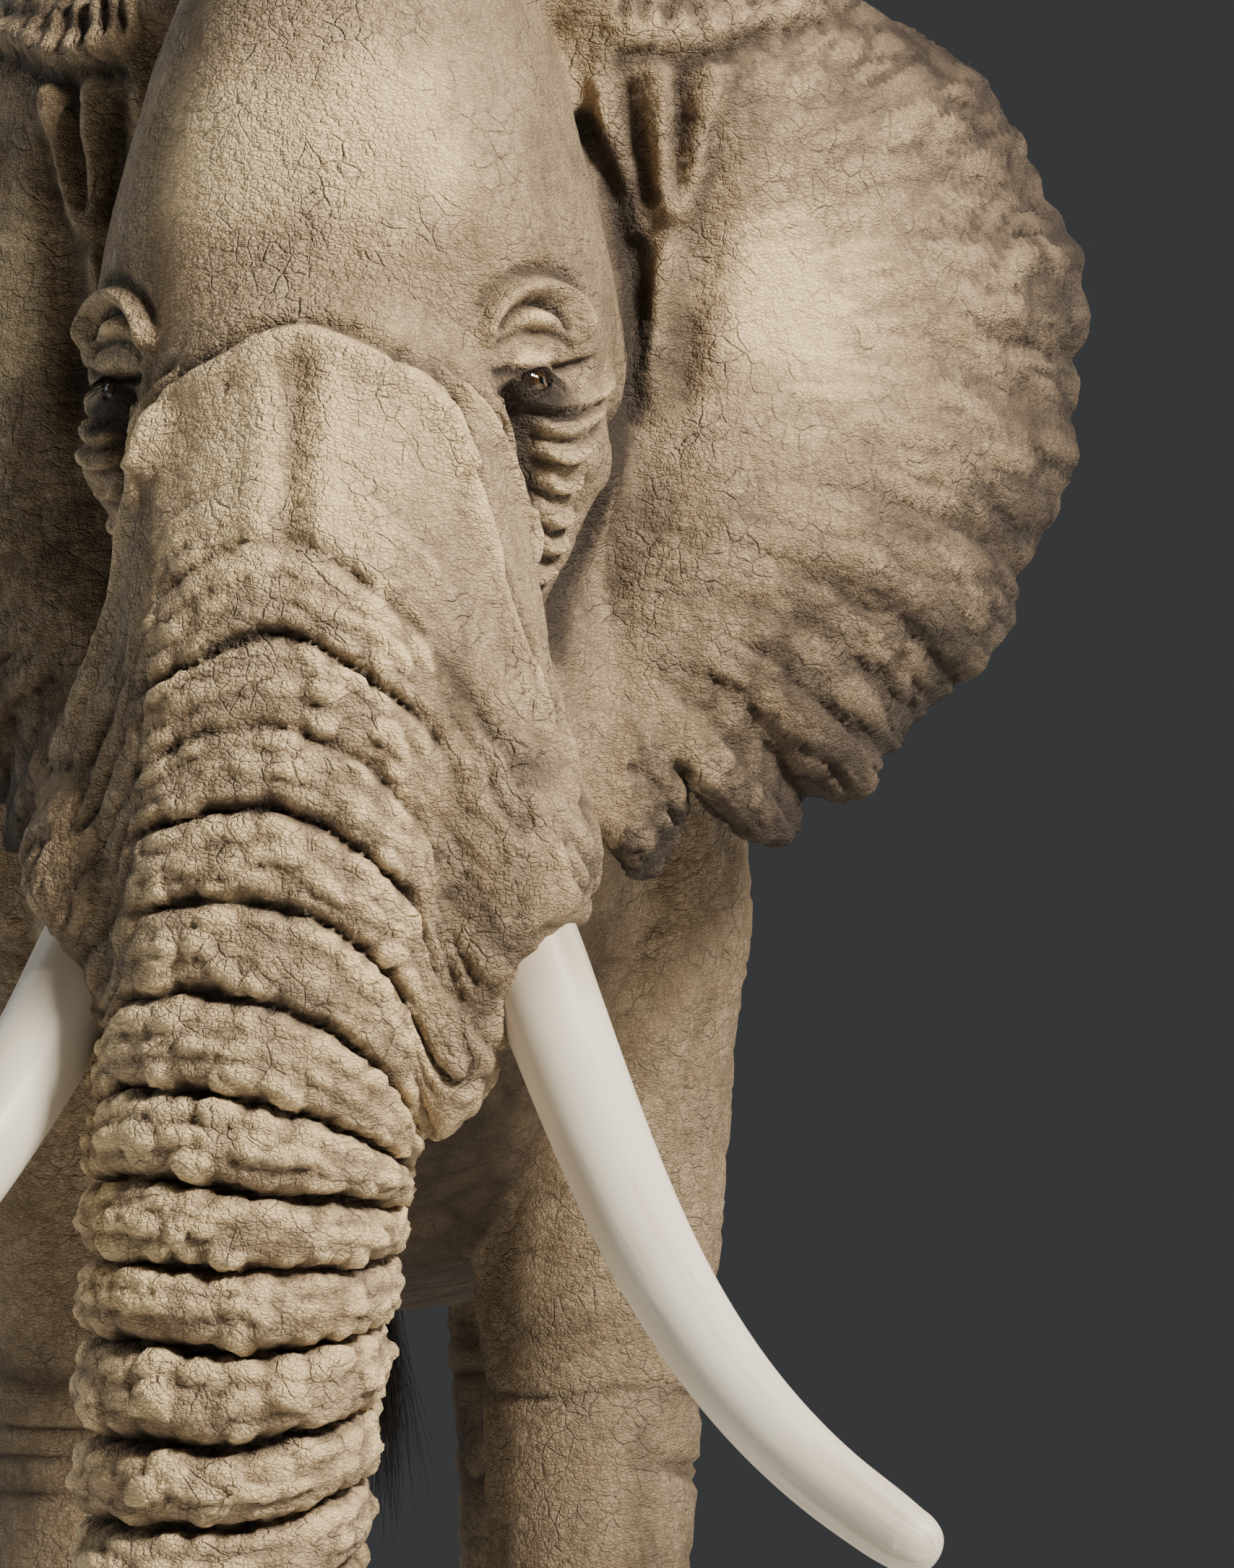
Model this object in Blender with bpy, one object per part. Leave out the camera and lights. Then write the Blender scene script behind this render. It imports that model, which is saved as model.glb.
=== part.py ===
"""African bush elephant, an adult bull, standing at rest: a life-size still model.

The bull faces -Y, with its left side at +X, and stands on the plane z = 0. All sizes are in metres, from
a point on the floor under the withers; at the end the whole bull moves so that its box stands over the origin.
The flesh is built whole, from lofts along the bones, and parted afterwards with thin cuts, so that its
pieces meet face to face. The head is modelled looking straight along -Y and then turned at the neck.
"""

import math

import bmesh
import bpy
from mathutils import Matrix, Vector

# ---------------------------------------------------------------- driving dimensions
SHOULDER_HEIGHT = 3.2
FORELEG_Y, HINDLEG_Y = -0.80, 1.12      # where the two pairs of legs stand
HEAD_TURN = math.radians(-9.0)          # the head looks a little to the bull's right
HEAD_PIVOT = Vector((0.0, -2.30, 0.0))  # the upright through the face about which it turns

CUT = 0.00035                           # width of each parting cut
CLEARANCE = 0.0003                      # gap left round the tusks, eyes, jaw and nails

FLESH_VOXEL = 0.024
FLESH_TRIANGLES = 2750
BARREL_SHARE = 0.62                     # share of its triangles that the plain barrel keeps

EYE = Vector((0.2875, -2.3656, 2.59))
EYE_LOOKS = Vector((0.80, -0.60, 0.0))
EYE_RADIUS = 0.034
EYE_SUNK = 0.020                        # how far the eye's centre lies under the skin

TUSK_ROOT = Vector((0.30, -2.46, 1.80))
TUSK_TIP = Vector((0.842, -3.04, 1.08))
TUSK_LEAVES = Vector((0.37, -0.27, -0.89))
TUSK_ENDS = Vector((0.81, -0.42, -0.41))
TUSK_REACH = 0.37                       # length of both handles of its curve
TUSK_RADIUS, TUSK_TIP_RADIUS = 0.070, 0.040
TUSK_SOCKET = 0.10                      # how deep the tusk sits in its sheath

EAR_ROOT_TOP = Vector((0.27, -1.93, 3.10))
EAR_ROOT_BOTTOM = Vector((0.22, -1.98, 2.03))
EAR_SWEEP = math.radians(40.0)          # how far the ear is swept back from the crossways line
EAR_PLEATS = 9
EAR_THICK, EAR_THIN = 0.052, 0.018      # at the root and at the rim


# ---------------------------------------------------------------- small tools
def smooth_curve(rows, steps):
    """Rows of numbers as a Catmull-Rom curve through them, with that many steps between two rows."""
    ends = [rows[0], *rows, rows[-1]]
    out = []
    for i in range(1, len(ends) - 2):
        for k in range(steps):
            t = k / steps
            out.append([
                0.5 * (2 * b + (c - a) * t + (2 * a - 5 * b + 4 * c - d) * t * t
                       + (3 * b - a - 3 * c + d) * t ** 3)
                for a, b, c, d in zip(*ends[i - 1:i + 3])
            ])
    return [*out, list(rows[-1])]


def new_object(name, bm):
    """A new object in the scene from a bmesh, in flat triangles whose normals face out."""
    bmesh.ops.triangulate(bm, faces=bm.faces)
    bmesh.ops.recalc_face_normals(bm, faces=bm.faces)
    mesh = bpy.data.meshes.new(name)
    bm.to_mesh(mesh)
    bm.free()
    obj = bpy.data.objects.new(name, mesh)
    bpy.context.scene.collection.objects.link(obj)
    return obj


def power(value, exponent):
    """A signed power, which squares off a circle's sine or cosine."""
    return math.copysign(abs(value) ** exponent, value)


def loft(name, stations, side=Vector((1, 0, 0)), steps=5, segments=36):
    """A closed tube of rounded sections. Each station is (x, y, z, half width, half depth, egg, squareness):
    the width lies along side and the depth across it and the path, egg widens the section towards its -depth
    side, and squareness is the superellipse's exponent."""
    rows = smooth_curve(stations, steps)
    points = [Vector(row[:3]) for row in rows]
    bm = bmesh.new()
    rings = []
    for i, row in enumerate(rows):
        along = (points[min(i + 1, len(rows) - 1)] - points[max(i - 1, 0)]).normalized()
        across = (side - along * side.dot(along)).normalized()
        deep = along.cross(across)
        width, depth, egg, square = row[3:7]
        ring = []
        for k in range(segments):
            angle = 2 * math.pi * k / segments
            u = power(math.cos(angle), 2 / square)
            v = power(math.sin(angle), 2 / square)
            ring.append(bm.verts.new(points[i] + across * width * u * (1 - egg * v) + deep * depth * v))
        rings.append(ring)
    for a, b in zip(rings, rings[1:]):
        for k in range(segments):
            bm.faces.new((a[k], a[k - 1], b[k - 1], b[k]))
    bm.faces.new(rings[0])
    bm.faces.new(reversed(rings[-1]))
    return new_object(name, bm)


def ellipsoid(name, centre, radii, turn=0.0):
    """A ball stretched to three radii, turned about the upright."""
    bm = bmesh.new()
    bmesh.ops.create_icosphere(bm, subdivisions=3, radius=1.0)
    place = Matrix.Translation(centre) @ Matrix.Rotation(turn, 4, "Z") @ Matrix.Diagonal((*radii, 1.0))
    bmesh.ops.transform(bm, matrix=place, verts=bm.verts)
    return new_object(name, bm)


def mirrored(obj, name):
    """A copy of an object reflected to the bull's other side."""
    bm = bmesh.new()
    bm.from_mesh(obj.data)
    bmesh.ops.transform(bm, matrix=Matrix.Diagonal((-1, 1, 1, 1)), verts=bm.verts)
    bmesh.ops.reverse_faces(bm, faces=bm.faces)
    return new_object(name, bm)


def bake(obj):
    """Applies all of an object's modifiers to its mesh."""
    graph = bpy.context.evaluated_depsgraph_get()
    mesh = bpy.data.meshes.new_from_object(obj.evaluated_get(graph))
    obj.modifiers.clear()
    obj.data = mesh
    return obj


def combine(obj, other, operation, keep=False):
    """A Boolean of two objects, applied. The other object goes unless it is kept."""
    modifier = obj.modifiers.new(operation.title(), "BOOLEAN")
    modifier.operation = operation
    modifier.object = other
    bake(obj)
    if not keep:
        bpy.data.objects.remove(other)
    return obj


def join(name, objects):
    """Several objects' meshes as one object of overlapping shells."""
    bm = bmesh.new()
    for obj in objects:
        bm.from_mesh(obj.data)
        bpy.data.objects.remove(obj)
    return new_object(name, bm)


def inflated(obj, name, by):
    """A copy of an object with its surface moved out along its normals."""
    bm = bmesh.new()
    bm.from_mesh(obj.data)
    bm.normal_update()
    for vert in bm.verts:
        vert.co += vert.normal * by
    return new_object(name, bm)


def with_head(obj):
    """Turns a piece of the head about the neck."""
    place = Matrix.Translation(HEAD_PIVOT) @ Matrix.Rotation(HEAD_TURN, 4, "Z") @ Matrix.Translation(-HEAD_PIVOT)
    obj.data.transform(place)
    return obj


def material(name, colour, roughness):
    """A plain Principled material."""
    made = bpy.data.materials.new(name)
    made.use_nodes = True
    shader = made.node_tree.nodes["Principled BSDF"]
    shader.inputs["Base Color"].default_value = (*colour, 1.0)
    shader.inputs["Roughness"].default_value = roughness
    return made


# ---------------------------------------------------------------- torso, neck and tail
def torso():
    """The barrel, from the chest to the rump: high withers, a dip in the back, and a belly lowest at the loin."""
    rows = (  # y, top, bottom, half width
        (-1.46, 2.86, 1.95, 0.30),
        (-1.18, 3.03, 1.60, 0.48),
        (-0.80, SHOULDER_HEIGHT - 0.01, 1.38, 0.61),
        (-0.30, 3.13, 1.32, 0.69),
        (0.25, 3.04, 1.26, 0.75),
        (0.70, 3.07, 1.26, 0.73),
        (1.08, 3.12, 1.41, 0.64),
        (1.42, 2.99, 1.66, 0.51),
        (1.68, 2.78, 1.95, 0.32),
        (1.78, 2.62, 2.16, 0.14),
    )
    stations = [
        (0, y, (top + bottom) / 2, width, (top - bottom) / 2, -0.13, 2.15)
        for y, top, bottom, width in rows
    ]
    return loft("torso", stations)


def neck():
    """A short thick neck. Its front end follows the turned head."""
    rows = (  # y, height of the middle, half width, half height, share of the head's turn
        (-0.75, 2.40, 0.50, 0.70, 0.0),
        (-1.15, 2.48, 0.48, 0.66, 0.2),
        (-1.50, 2.60, 0.41, 0.60, 0.6),
        (-1.80, 2.68, 0.36, 0.55, 1.0),
        (-2.02, 2.70, 0.30, 0.46, 1.0),
    )
    stations = [
        (math.sin(HEAD_TURN) * (HEAD_PIVOT.y - y) * share, y, z, width, height, -0.04, 2.2)
        for y, z, width, height, share in rows
    ]
    return loft("neck", stations)


def dewlap():
    """The loose skin of the throat, between the jaw and the chest."""
    return loft("dewlap", (
        (0.02, -1.95, 2.02, 0.18, 0.16, 0, 2),
        (0.00, -1.55, 1.93, 0.20, 0.20, 0, 2),
        (0.00, -1.10, 1.78, 0.26, 0.26, 0, 2),
        (0.00, -0.80, 1.72, 0.26, 0.26, 0, 2),
    ))


def tail():
    """A thin tail that hangs from the rump and thins to its tuft."""
    return loft("tail", (
        (0.00, 1.60, 2.72, 0.120, 0.130, 0, 2),
        (0.00, 1.74, 2.60, 0.095, 0.100, 0, 2),
        (0.00, 1.84, 2.38, 0.066, 0.070, 0, 2),
        (0.01, 1.875, 2.05, 0.050, 0.050, 0, 2),
        (0.03, 1.88, 1.65, 0.041, 0.039, 0, 2),
        (0.06, 1.89, 1.28, 0.034, 0.031, 0, 2),
        (0.07, 1.90, 1.16, 0.030, 0.027, 0, 2),
    ), segments=20)


def tail_tuft():
    """The outer shape of the stiff black hairs at the tail's end."""
    return loft("tail_tuft", (
        (0.070, 1.900, 1.159, 0.028, 0.026, 0, 2),
        (0.080, 1.903, 1.05, 0.032, 0.060, 0, 2),
        (0.085, 1.905, 0.90, 0.028, 0.070, 0, 2),
        (0.085, 1.905, 0.76, 0.018, 0.046, 0, 2),
        (0.085, 1.905, 0.70, 0.006, 0.014, 0, 2),
    ), steps=1, segments=9)


# ---------------------------------------------------------------- legs
def foreleg(name, forward):
    """A foreleg as a column under the shoulder blade. forward moves the foot ahead of the shoulder."""
    y = FORELEG_Y
    return loft(name, (
        (0.30, y + 0.16, 2.80, 0.10, 0.16, 0, 2),
        (0.41, y + 0.10, 2.52, 0.19, 0.28, 0, 2),
        (0.47, y + 0.02, 2.10, 0.22, 0.34, 0, 2.1),
        (0.46, y + 0.02, 1.72, 0.22, 0.31, 0, 2.1),
        (0.44, y + 0.04 - 0.1 * forward, 1.38, 0.205, 0.255, 0, 2.1),
        (0.425, y + 0.03 - 0.35 * forward, 1.05, 0.180, 0.205, 0, 2),
        (0.415, y - 0.01 - 0.65 * forward, 0.72, 0.165, 0.185, 0, 2),
        (0.41, y - 0.01 - 0.85 * forward, 0.42, 0.160, 0.172, 0, 2),
        (0.41, y - 0.02 - 0.95 * forward, 0.24, 0.185, 0.195, 0, 2),
        (0.41, y - 0.04 - forward, 0.09, 0.228, 0.235, 0, 2),
        (0.41, y - 0.05 - forward, -0.07, 0.240, 0.248, 0, 2),
    ))


def hindleg(name, forward):
    """A hind leg: a deep thigh, a knee that bulges forward, a low hock and a narrower foot."""
    y = HINDLEG_Y
    return loft(name, (
        (0.24, y - 0.06, 2.78, 0.10, 0.18, 0, 2),
        (0.38, y - 0.05, 2.48, 0.21, 0.34, 0, 2),
        (0.43, y - 0.04, 2.05, 0.24, 0.41, 0, 2.1),
        (0.43, y - 0.08, 1.65, 0.24, 0.36, 0, 2.1),
        (0.41, y - 0.13 - 0.15 * forward, 1.30, 0.205, 0.27, 0, 2),
        (0.40, y - 0.12 - 0.4 * forward, 1.02, 0.180, 0.215, 0, 2),
        (0.39, y - 0.02 - 0.65 * forward, 0.74, 0.155, 0.172, 0, 2),
        (0.38, y + 0.05 - 0.85 * forward, 0.46, 0.142, 0.158, 0, 2),
        (0.38, y + 0.03 - 0.95 * forward, 0.26, 0.158, 0.172, 0, 2),
        (0.38, y - 0.01 - forward, 0.09, 0.190, 0.218, 0, 2),
        (0.38, y - 0.02 - forward, -0.07, 0.200, 0.230, 0, 2),
    ))


STRIDES = {  # how far each foot is set ahead of its joint
    "leg_front_left": (foreleg, 0.10),
    "leg_front_right": (foreleg, -0.06),
    "leg_hind_left": (hindleg, -0.10),
    "leg_hind_right": (hindleg, 0.12),
}


def legs():
    """The four legs, the right ones reflected."""
    made = []
    for name, (build, forward) in STRIDES.items():
        leg = build(name, forward)
        if name.endswith("right"):
            right = mirrored(leg, name + "_side")
            bpy.data.objects.remove(leg)
            leg = right
        made.append(leg)
    return made


# ---------------------------------------------------------------- head and trunk
def skull():
    """The head in level sections, from the chin to the domed crown: middle, half width and half depth."""
    rows = (  # z, y of the middle, half width, half depth, squareness
        (1.80, -2.10, 0.09, 0.14, 2),
        (1.90, -2.08, 0.19, 0.24, 2),
        (2.08, -2.05, 0.270, 0.34, 2.1),
        (2.28, -2.04, 0.300, 0.41, 2.2),
        (2.48, -2.04, 0.355, 0.45, 2.3),
        (2.63, -2.04, 0.376, 0.47, 2.3),
        (2.80, -2.03, 0.360, 0.48, 2.3),
        (2.98, -2.01, 0.318, 0.47, 2.2),
        (3.14, -1.98, 0.272, 0.43, 2.1),
        (3.27, -1.95, 0.210, 0.34, 2),
        (3.35, -1.92, 0.120, 0.20, 2),
        (3.37, -1.92, 0.030, 0.06, 2),
    )
    return loft("skull", [(0, y, z, width, depth, 0, square) for z, y, width, depth, square in rows])


def trunk():
    """The trunk, from inside the forehead to the floor, where its tip turns forward."""
    return loft("trunk", (
        (0.000, -2.22, 2.80, 0.180, 0.170, 0, 2.0),
        (0.000, -2.34, 2.56, 0.250, 0.230, 0, 2.1),
        (-0.005, -2.41, 2.28, 0.260, 0.245, 0, 2.2),
        (-0.020, -2.46, 1.98, 0.248, 0.225, 0, 2.3),
        (-0.050, -2.49, 1.70, 0.222, 0.204, 0, 2.3),
        (-0.080, -2.50, 1.42, 0.197, 0.188, 0, 2.2),
        (-0.098, -2.50, 1.12, 0.181, 0.172, 0, 2.2),
        (-0.102, -2.49, 0.82, 0.160, 0.152, 0, 2.2),
        (-0.096, -2.47, 0.54, 0.133, 0.125, 0, 2.2),
        (-0.085, -2.46, 0.32, 0.110, 0.102, 0, 2.1),
        (-0.075, -2.51, 0.165, 0.096, 0.085, 0, 2.1),
        (-0.070, -2.615, 0.115, 0.087, 0.072, 0, 2.1),
        (-0.068, -2.69, 0.125, 0.080, 0.062, 0, 2.1),
    ))


def sheath(name):
    """The lip and bone round a tusk's root, a ridge down the side of the trunk's top."""
    return loft(name, (
        (0.10, -2.28, 2.56, 0.125, 0.130, 0, 2),
        (0.145, -2.34, 2.34, 0.140, 0.150, 0, 2),
        (0.190, -2.39, 2.12, 0.145, 0.155, 0, 2),
        (0.240, -2.435, 1.94, 0.137, 0.140, 0, 2),
        (0.283, -2.458, 1.82, 0.116, 0.118, 0, 2),
        (0.293, -2.463, 1.785, 0.088, 0.088, 0, 2),
    ), segments=28)


def lip(name):
    """The flap of the upper lip that hangs between the tusk and the trunk."""
    return ellipsoid(name, Vector((0.195, -2.50, 1.76)), (0.075, 0.075, 0.13))


def cheek(name):
    """The chewing muscle, behind the tusk's sheath and in front of the ear."""
    return ellipsoid(name, Vector((0.235, -2.02, 2.22)), (0.105, 0.26, 0.30))


def brow(name):
    """The ridge of bone over the eye."""
    return ellipsoid(name, Vector((0.285, -2.275, 2.66)), (0.075, 0.10, 0.060), math.radians(-35))


def cheekbone(name):
    """The arch from the eye back to the ear."""
    return ellipsoid(name, Vector((0.315, -2.10, 2.52)), (0.065, 0.24, 0.075))


def jaw():
    """The lower jaw, which ends in a short pointed lip behind the trunk."""
    return loft("lower_jaw", (
        (0, -1.92, 2.02, 0.17, 0.13, 0, 2.2),
        (0, -2.05, 1.93, 0.19, 0.14, 0, 2.2),
        (0, -2.18, 1.83, 0.16, 0.12, 0, 2.2),
        (0, -2.28, 1.72, 0.105, 0.085, 0, 2),
        (0, -2.325, 1.62, 0.055, 0.050, 0, 2),
        (0, -2.335, 1.575, 0.020, 0.020, 0, 2),
    ), steps=1, segments=12)


def tusk(name, grow=0.0, longer=0.0):
    """A tusk along a cubic curve that leaves its sheath downwards and sweeps out and forward."""
    start, end = TUSK_LEAVES.normalized(), TUSK_ENDS.normalized()
    corners = (TUSK_ROOT, TUSK_ROOT + start * TUSK_REACH, TUSK_TIP - end * TUSK_REACH, TUSK_TIP)
    root = TUSK_ROOT - start * (TUSK_SOCKET + longer)
    stations = [(*root, TUSK_RADIUS + grow, TUSK_RADIUS + grow, 0, 2)]
    spans = 8
    for i in range(spans):
        t = i / spans
        weights = ((1 - t) ** 3, 3 * t * (1 - t) ** 2, 3 * t * t * (1 - t), t ** 3)
        point = sum((c * w for c, w in zip(corners, weights)), Vector())
        radius = TUSK_RADIUS + (TUSK_TIP_RADIUS - TUSK_RADIUS) * t + grow
        stations.append((*point, radius, radius, 0, 2))
    for back, share in ((0.045, 0.98), (0.020, 0.84), (0.004, 0.52), (0.0, 0.20)):
        point = TUSK_TIP - end * back
        radius = TUSK_TIP_RADIUS * share + grow
        stations.append((*point, radius, radius, 0, 2))
    return loft(name, stations, steps=1, segments=12)


def eyeball(name, grow=0.0):
    """The eye, a ball sunk in the head."""
    bm = bmesh.new()
    bmesh.ops.create_icosphere(bm, subdivisions=2, radius=EYE_RADIUS + grow)
    place = Matrix.Translation(EYE - EYE_LOOKS.normalized() * EYE_SUNK)
    bmesh.ops.transform(bm, matrix=place, verts=bm.verts)
    return new_object(name, bm)


# ---------------------------------------------------------------- ears
EAR_RIM = (  # out along the ear and up from its middle, from the front of its top round to the front of its lobe
    (0.02, 0.56),
    (0.24, 0.69),
    (0.52, 0.68),
    (0.77, 0.59),
    (0.95, 0.43),
    (1.04, 0.22),
    (1.01, 0.02),
    (0.90, -0.19),
    (0.77, -0.36),
    (0.60, -0.50),
    (0.45, -0.59),
    (0.31, -0.65),
    (0.21, -0.58),
    (0.12, -0.69),
    (0.03, -0.66),
)
EAR_MIDDLE = 2.66  # the height that EAR_RIM is measured from
EAR_FRONT = Vector((0.30, -1.95))  # x and y of the ear's fold line at the head


def ear_point(across, out):
    """A point of the ear's middle surface: across runs round the rim from 0 to 1, and out from root to rim."""
    rim = smooth_curve(EAR_RIM, 12)
    place = across * (len(rim) - 1)
    low = min(int(place), len(rim) - 2)
    share = place - low
    u, v = ((1 - share) * a + share * b for a, b in zip(rim[low], rim[low + 1]))
    lower = max(0.0, (across - 0.45) / 0.55)
    scallop = 1 + 0.022 * math.sin(math.pi * EAR_PLEATS * across) * (0.3 + lower)
    away = Vector((math.cos(EAR_SWEEP), math.sin(EAR_SWEEP), 0))
    facing = Vector((math.sin(EAR_SWEEP), -math.cos(EAR_SWEEP), 0))
    edge = Vector((EAR_FRONT.x, EAR_FRONT.y, EAR_MIDDLE + v * scallop)) + away * u * scallop
    root = EAR_ROOT_TOP.lerp(EAR_ROOT_BOTTOM, across)
    point = root.lerp(edge, out)
    spread = (point.xy - EAR_FRONT).length
    dish = 0.15 * math.sin(math.pi * min(out, 1) ** 0.8) * (0.45 + 0.55 * math.sin(math.pi * across))
    curl = -0.10 * max(0.0, out - 0.55) ** 2 / 0.2 * math.sin(math.pi * min(1, across * 1.25)) ** 2
    pleat = 0.017 * out ** 2 * math.cos(2 * math.pi * EAR_PLEATS * across) * min(1, spread / 0.3)
    return point + facing * (dish + curl + pleat)


def ear(name, columns=30, rows=5):
    """An ear as a sheet between its fold line and its rim, thick at the root and thin at the rim."""
    grid = [[ear_point(c / columns, r / rows) for r in range(rows + 1)] for c in range(columns + 1)]
    bm = bmesh.new()
    faces = [[], []]
    for c in range(columns + 1):
        for r in range(rows + 1):
            along = grid[min(c + 1, columns)][r] - grid[max(c - 1, 0)][r]
            outward = grid[c][min(r + 1, rows)] - grid[c][max(r - 1, 0)]
            normal = along.cross(outward).normalized()
            half = 0.5 * (EAR_THICK + (EAR_THIN - EAR_THICK) * (r / rows) ** 0.6)
            for side, sign in ((0, 1), (1, -1)):
                faces[side].append(bm.verts.new(grid[c][r] + normal * half * sign))

    def at(side, c, r):
        return faces[side][c * (rows + 1) + r]

    for c in range(columns):
        for r in range(rows):
            bm.faces.new((at(0, c, r), at(0, c + 1, r), at(0, c + 1, r + 1), at(0, c, r + 1)))
            bm.faces.new((at(1, c, r), at(1, c, r + 1), at(1, c + 1, r + 1), at(1, c + 1, r)))
        for r in (0, rows):
            bm.faces.new((at(0, c, r), at(0, c + 1, r), at(1, c + 1, r), at(1, c, r)))
    for r in range(rows):
        for c in (0, columns):
            bm.faces.new((at(0, c, r), at(0, c, r + 1), at(1, c, r + 1), at(1, c, r)))
    return new_object(name, bm)


# ---------------------------------------------------------------- nails
NAILS = {  # angles of the nails round each foot from straight ahead, in degrees, outwards positive
    "leg_front": (-42, -14, 14, 42),
    "leg_hind": (-32, 0, 32),
}


def nail(name, centre, angle, reach, outward):
    """A toenail: a low rounded shield that leans on the front of the foot."""
    turn = math.radians(angle) * outward
    ahead = Vector((math.sin(turn), -math.cos(turn), 0))
    place = centre + ahead * reach
    bm = bmesh.new()
    bmesh.ops.create_uvsphere(bm, u_segments=6, v_segments=4, radius=1.0)
    form = Matrix.Translation(place) @ Matrix.Rotation(turn, 4, "Z") @ Matrix.Diagonal((0.048, 0.030, 0.052, 1))
    bmesh.ops.transform(bm, matrix=form, verts=bm.verts)
    return new_object(name, bm)


def nails():
    """The nails of all four feet: four on each forefoot and three on each hind foot."""
    made = []
    for leg, (build, forward) in STRIDES.items():
        front = build is foreleg
        side = -1 if leg.endswith("right") else 1
        centre = Vector((0.41 * side, FORELEG_Y - 0.045 - forward, 0.062)) if front else Vector(
            (0.38 * side, HINDLEG_Y - 0.015 - forward, 0.060))
        reach = 0.222 if front else 0.205
        for i, angle in enumerate(NAILS["leg_front" if front else "leg_hind"]):
            made.append(nail(f"nail_{leg[4:]}_{i + 1}", centre, angle, reach, side))
    return made


# ---------------------------------------------------------------- parting the flesh
def slab(name, centre, size, turn=(0, 0, 0)):
    """A thin box that parts what it passes through."""
    bm = bmesh.new()
    bmesh.ops.create_cube(bm, size=1.0)
    rotate = Matrix.Rotation(turn[2], 4, "Z") @ Matrix.Rotation(turn[1], 4, "Y") @ Matrix.Rotation(turn[0], 4, "X")
    place = Matrix.Translation(centre) @ rotate @ Matrix.Diagonal((*size, 1.0))
    bmesh.ops.transform(bm, matrix=place, verts=bm.verts)
    return new_object(name, bm)


def parting_slabs():
    """One slab for each cut through the flesh."""
    slabs = [
        slab("cut_shoulder", (0, -1.16, 2.3), (1.6, CUT, 2.6)),
        slab("cut_tail", (0, 1.88, 1.92), (0.3, 0.20, CUT)),
    ]
    for side in (-1, 1):
        slabs.append(slab(f"cut_elbow_{side}", (0.46 * side, FORELEG_Y, 1.21), (0.80, 1.1, CUT)))
        slabs.append(slab(
            f"cut_knee_{side}", (0.50 * side, HINDLEG_Y + 0.02, 1.27), (0.86, 1.3, CUT), (math.radians(14), 0, 0)))
    for y in (FORELEG_Y, HINDLEG_Y):
        slabs.append(slab(f"cut_feet_{y}", (0, y, 0.27), (1.8, 1.2, CUT)))
    in_head = [
        slab("cut_nape", (0, -1.66, 2.6), (0.90, CUT, 2.2)),
        slab("cut_trunk_root", (0, -2.52, 1.665), (0.62, 0.62, CUT)),
        slab("cut_trunk_upper", (0, -2.50, 1.24), (0.6, 0.6, CUT)),
        slab("cut_trunk_lower", (0, -2.49, 0.74), (0.6, 0.6, CUT)),
    ]
    for side in (-1, 1):
        in_head.append(slab(
            f"cut_ear_{side}", (0.43 * side, -1.92, 2.6), (CUT, 0.36, 1.9)))
    return slabs + [with_head(obj) for obj in in_head]


FLESH_PARTS = {  # a point inside each piece, by which it gets its name
    "torso": Vector((0, 0.2, 2.2)),
    "leg_front_left": Vector((0.42, FORELEG_Y, 0.8)),
    "leg_front_right": Vector((-0.42, FORELEG_Y, 0.8)),
    "leg_hind_left": Vector((0.39, HINDLEG_Y, 0.8)),
    "leg_hind_right": Vector((-0.39, HINDLEG_Y, 0.8)),
    "foot_front_left": Vector((0.41, FORELEG_Y - 0.1, 0.12)),
    "foot_front_right": Vector((-0.41, FORELEG_Y, 0.12)),
    "foot_hind_left": Vector((0.38, HINDLEG_Y + 0.1, 0.12)),
    "foot_hind_right": Vector((-0.38, HINDLEG_Y - 0.1, 0.12)),
    "tail": Vector((0.03, 1.88, 1.9)),
}
HEAD_PARTS = {
    "neck": Vector((0, -1.40, 2.5)),
    "head": Vector((0, -2.05, 2.6)),
    "trunk_upper": Vector((0, -2.49, 1.45)),
    "trunk_middle": Vector((0, -2.49, 1.0)),
    "trunk_lower": Vector((0, -2.50, 0.4)),
    "ear_left": Vector((0.75, -1.6, 2.7)),
    "ear_right": Vector((-0.75, -1.6, 2.7)),
}


def flesh():
    """All the flesh as one smooth closed body that stands on flat soles."""
    head_shells = [skull(), trunk()]
    for build in (sheath, lip, cheek, brow, cheekbone):
        left = build(build.__name__ + "_left")
        head_shells += [left, mirrored(left, build.__name__ + "_right")]
    shells = [torso(), neck(), dewlap(), tail(), *legs(), *(with_head(obj) for obj in head_shells)]
    body = join("flesh", shells)
    remesh = body.modifiers.new("Blend", "REMESH")
    remesh.mode = "VOXEL"
    remesh.voxel_size = FLESH_VOXEL
    soften = body.modifiers.new("Soften", "SMOOTH")
    soften.factor = 0.5
    soften.iterations = 7
    bake(body)
    decimate = body.modifiers.new("Facets", "DECIMATE")
    decimate.ratio = FLESH_TRIANGLES / (2 * len(body.data.polygons))
    decimate.use_collapse_triangulate = True
    bake(body)
    barrel = [v.index for v in body.data.vertices if v.co.y > -1.1 and v.co.z > 1.35]
    body.vertex_groups.new(name="barrel").add(barrel, 1.0, "REPLACE")
    decimate = body.modifiers.new("Plain barrel", "DECIMATE")
    decimate.ratio = 1 - (1 - BARREL_SHARE) * len(barrel) / len(body.data.vertices)
    decimate.vertex_group = "barrel"
    decimate.use_collapse_triangulate = True
    bake(body)
    floor = slab("below_floor", (0, 0, -0.5), (4, 8, 1.0))
    return combine(body, floor, "DIFFERENCE")


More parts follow.
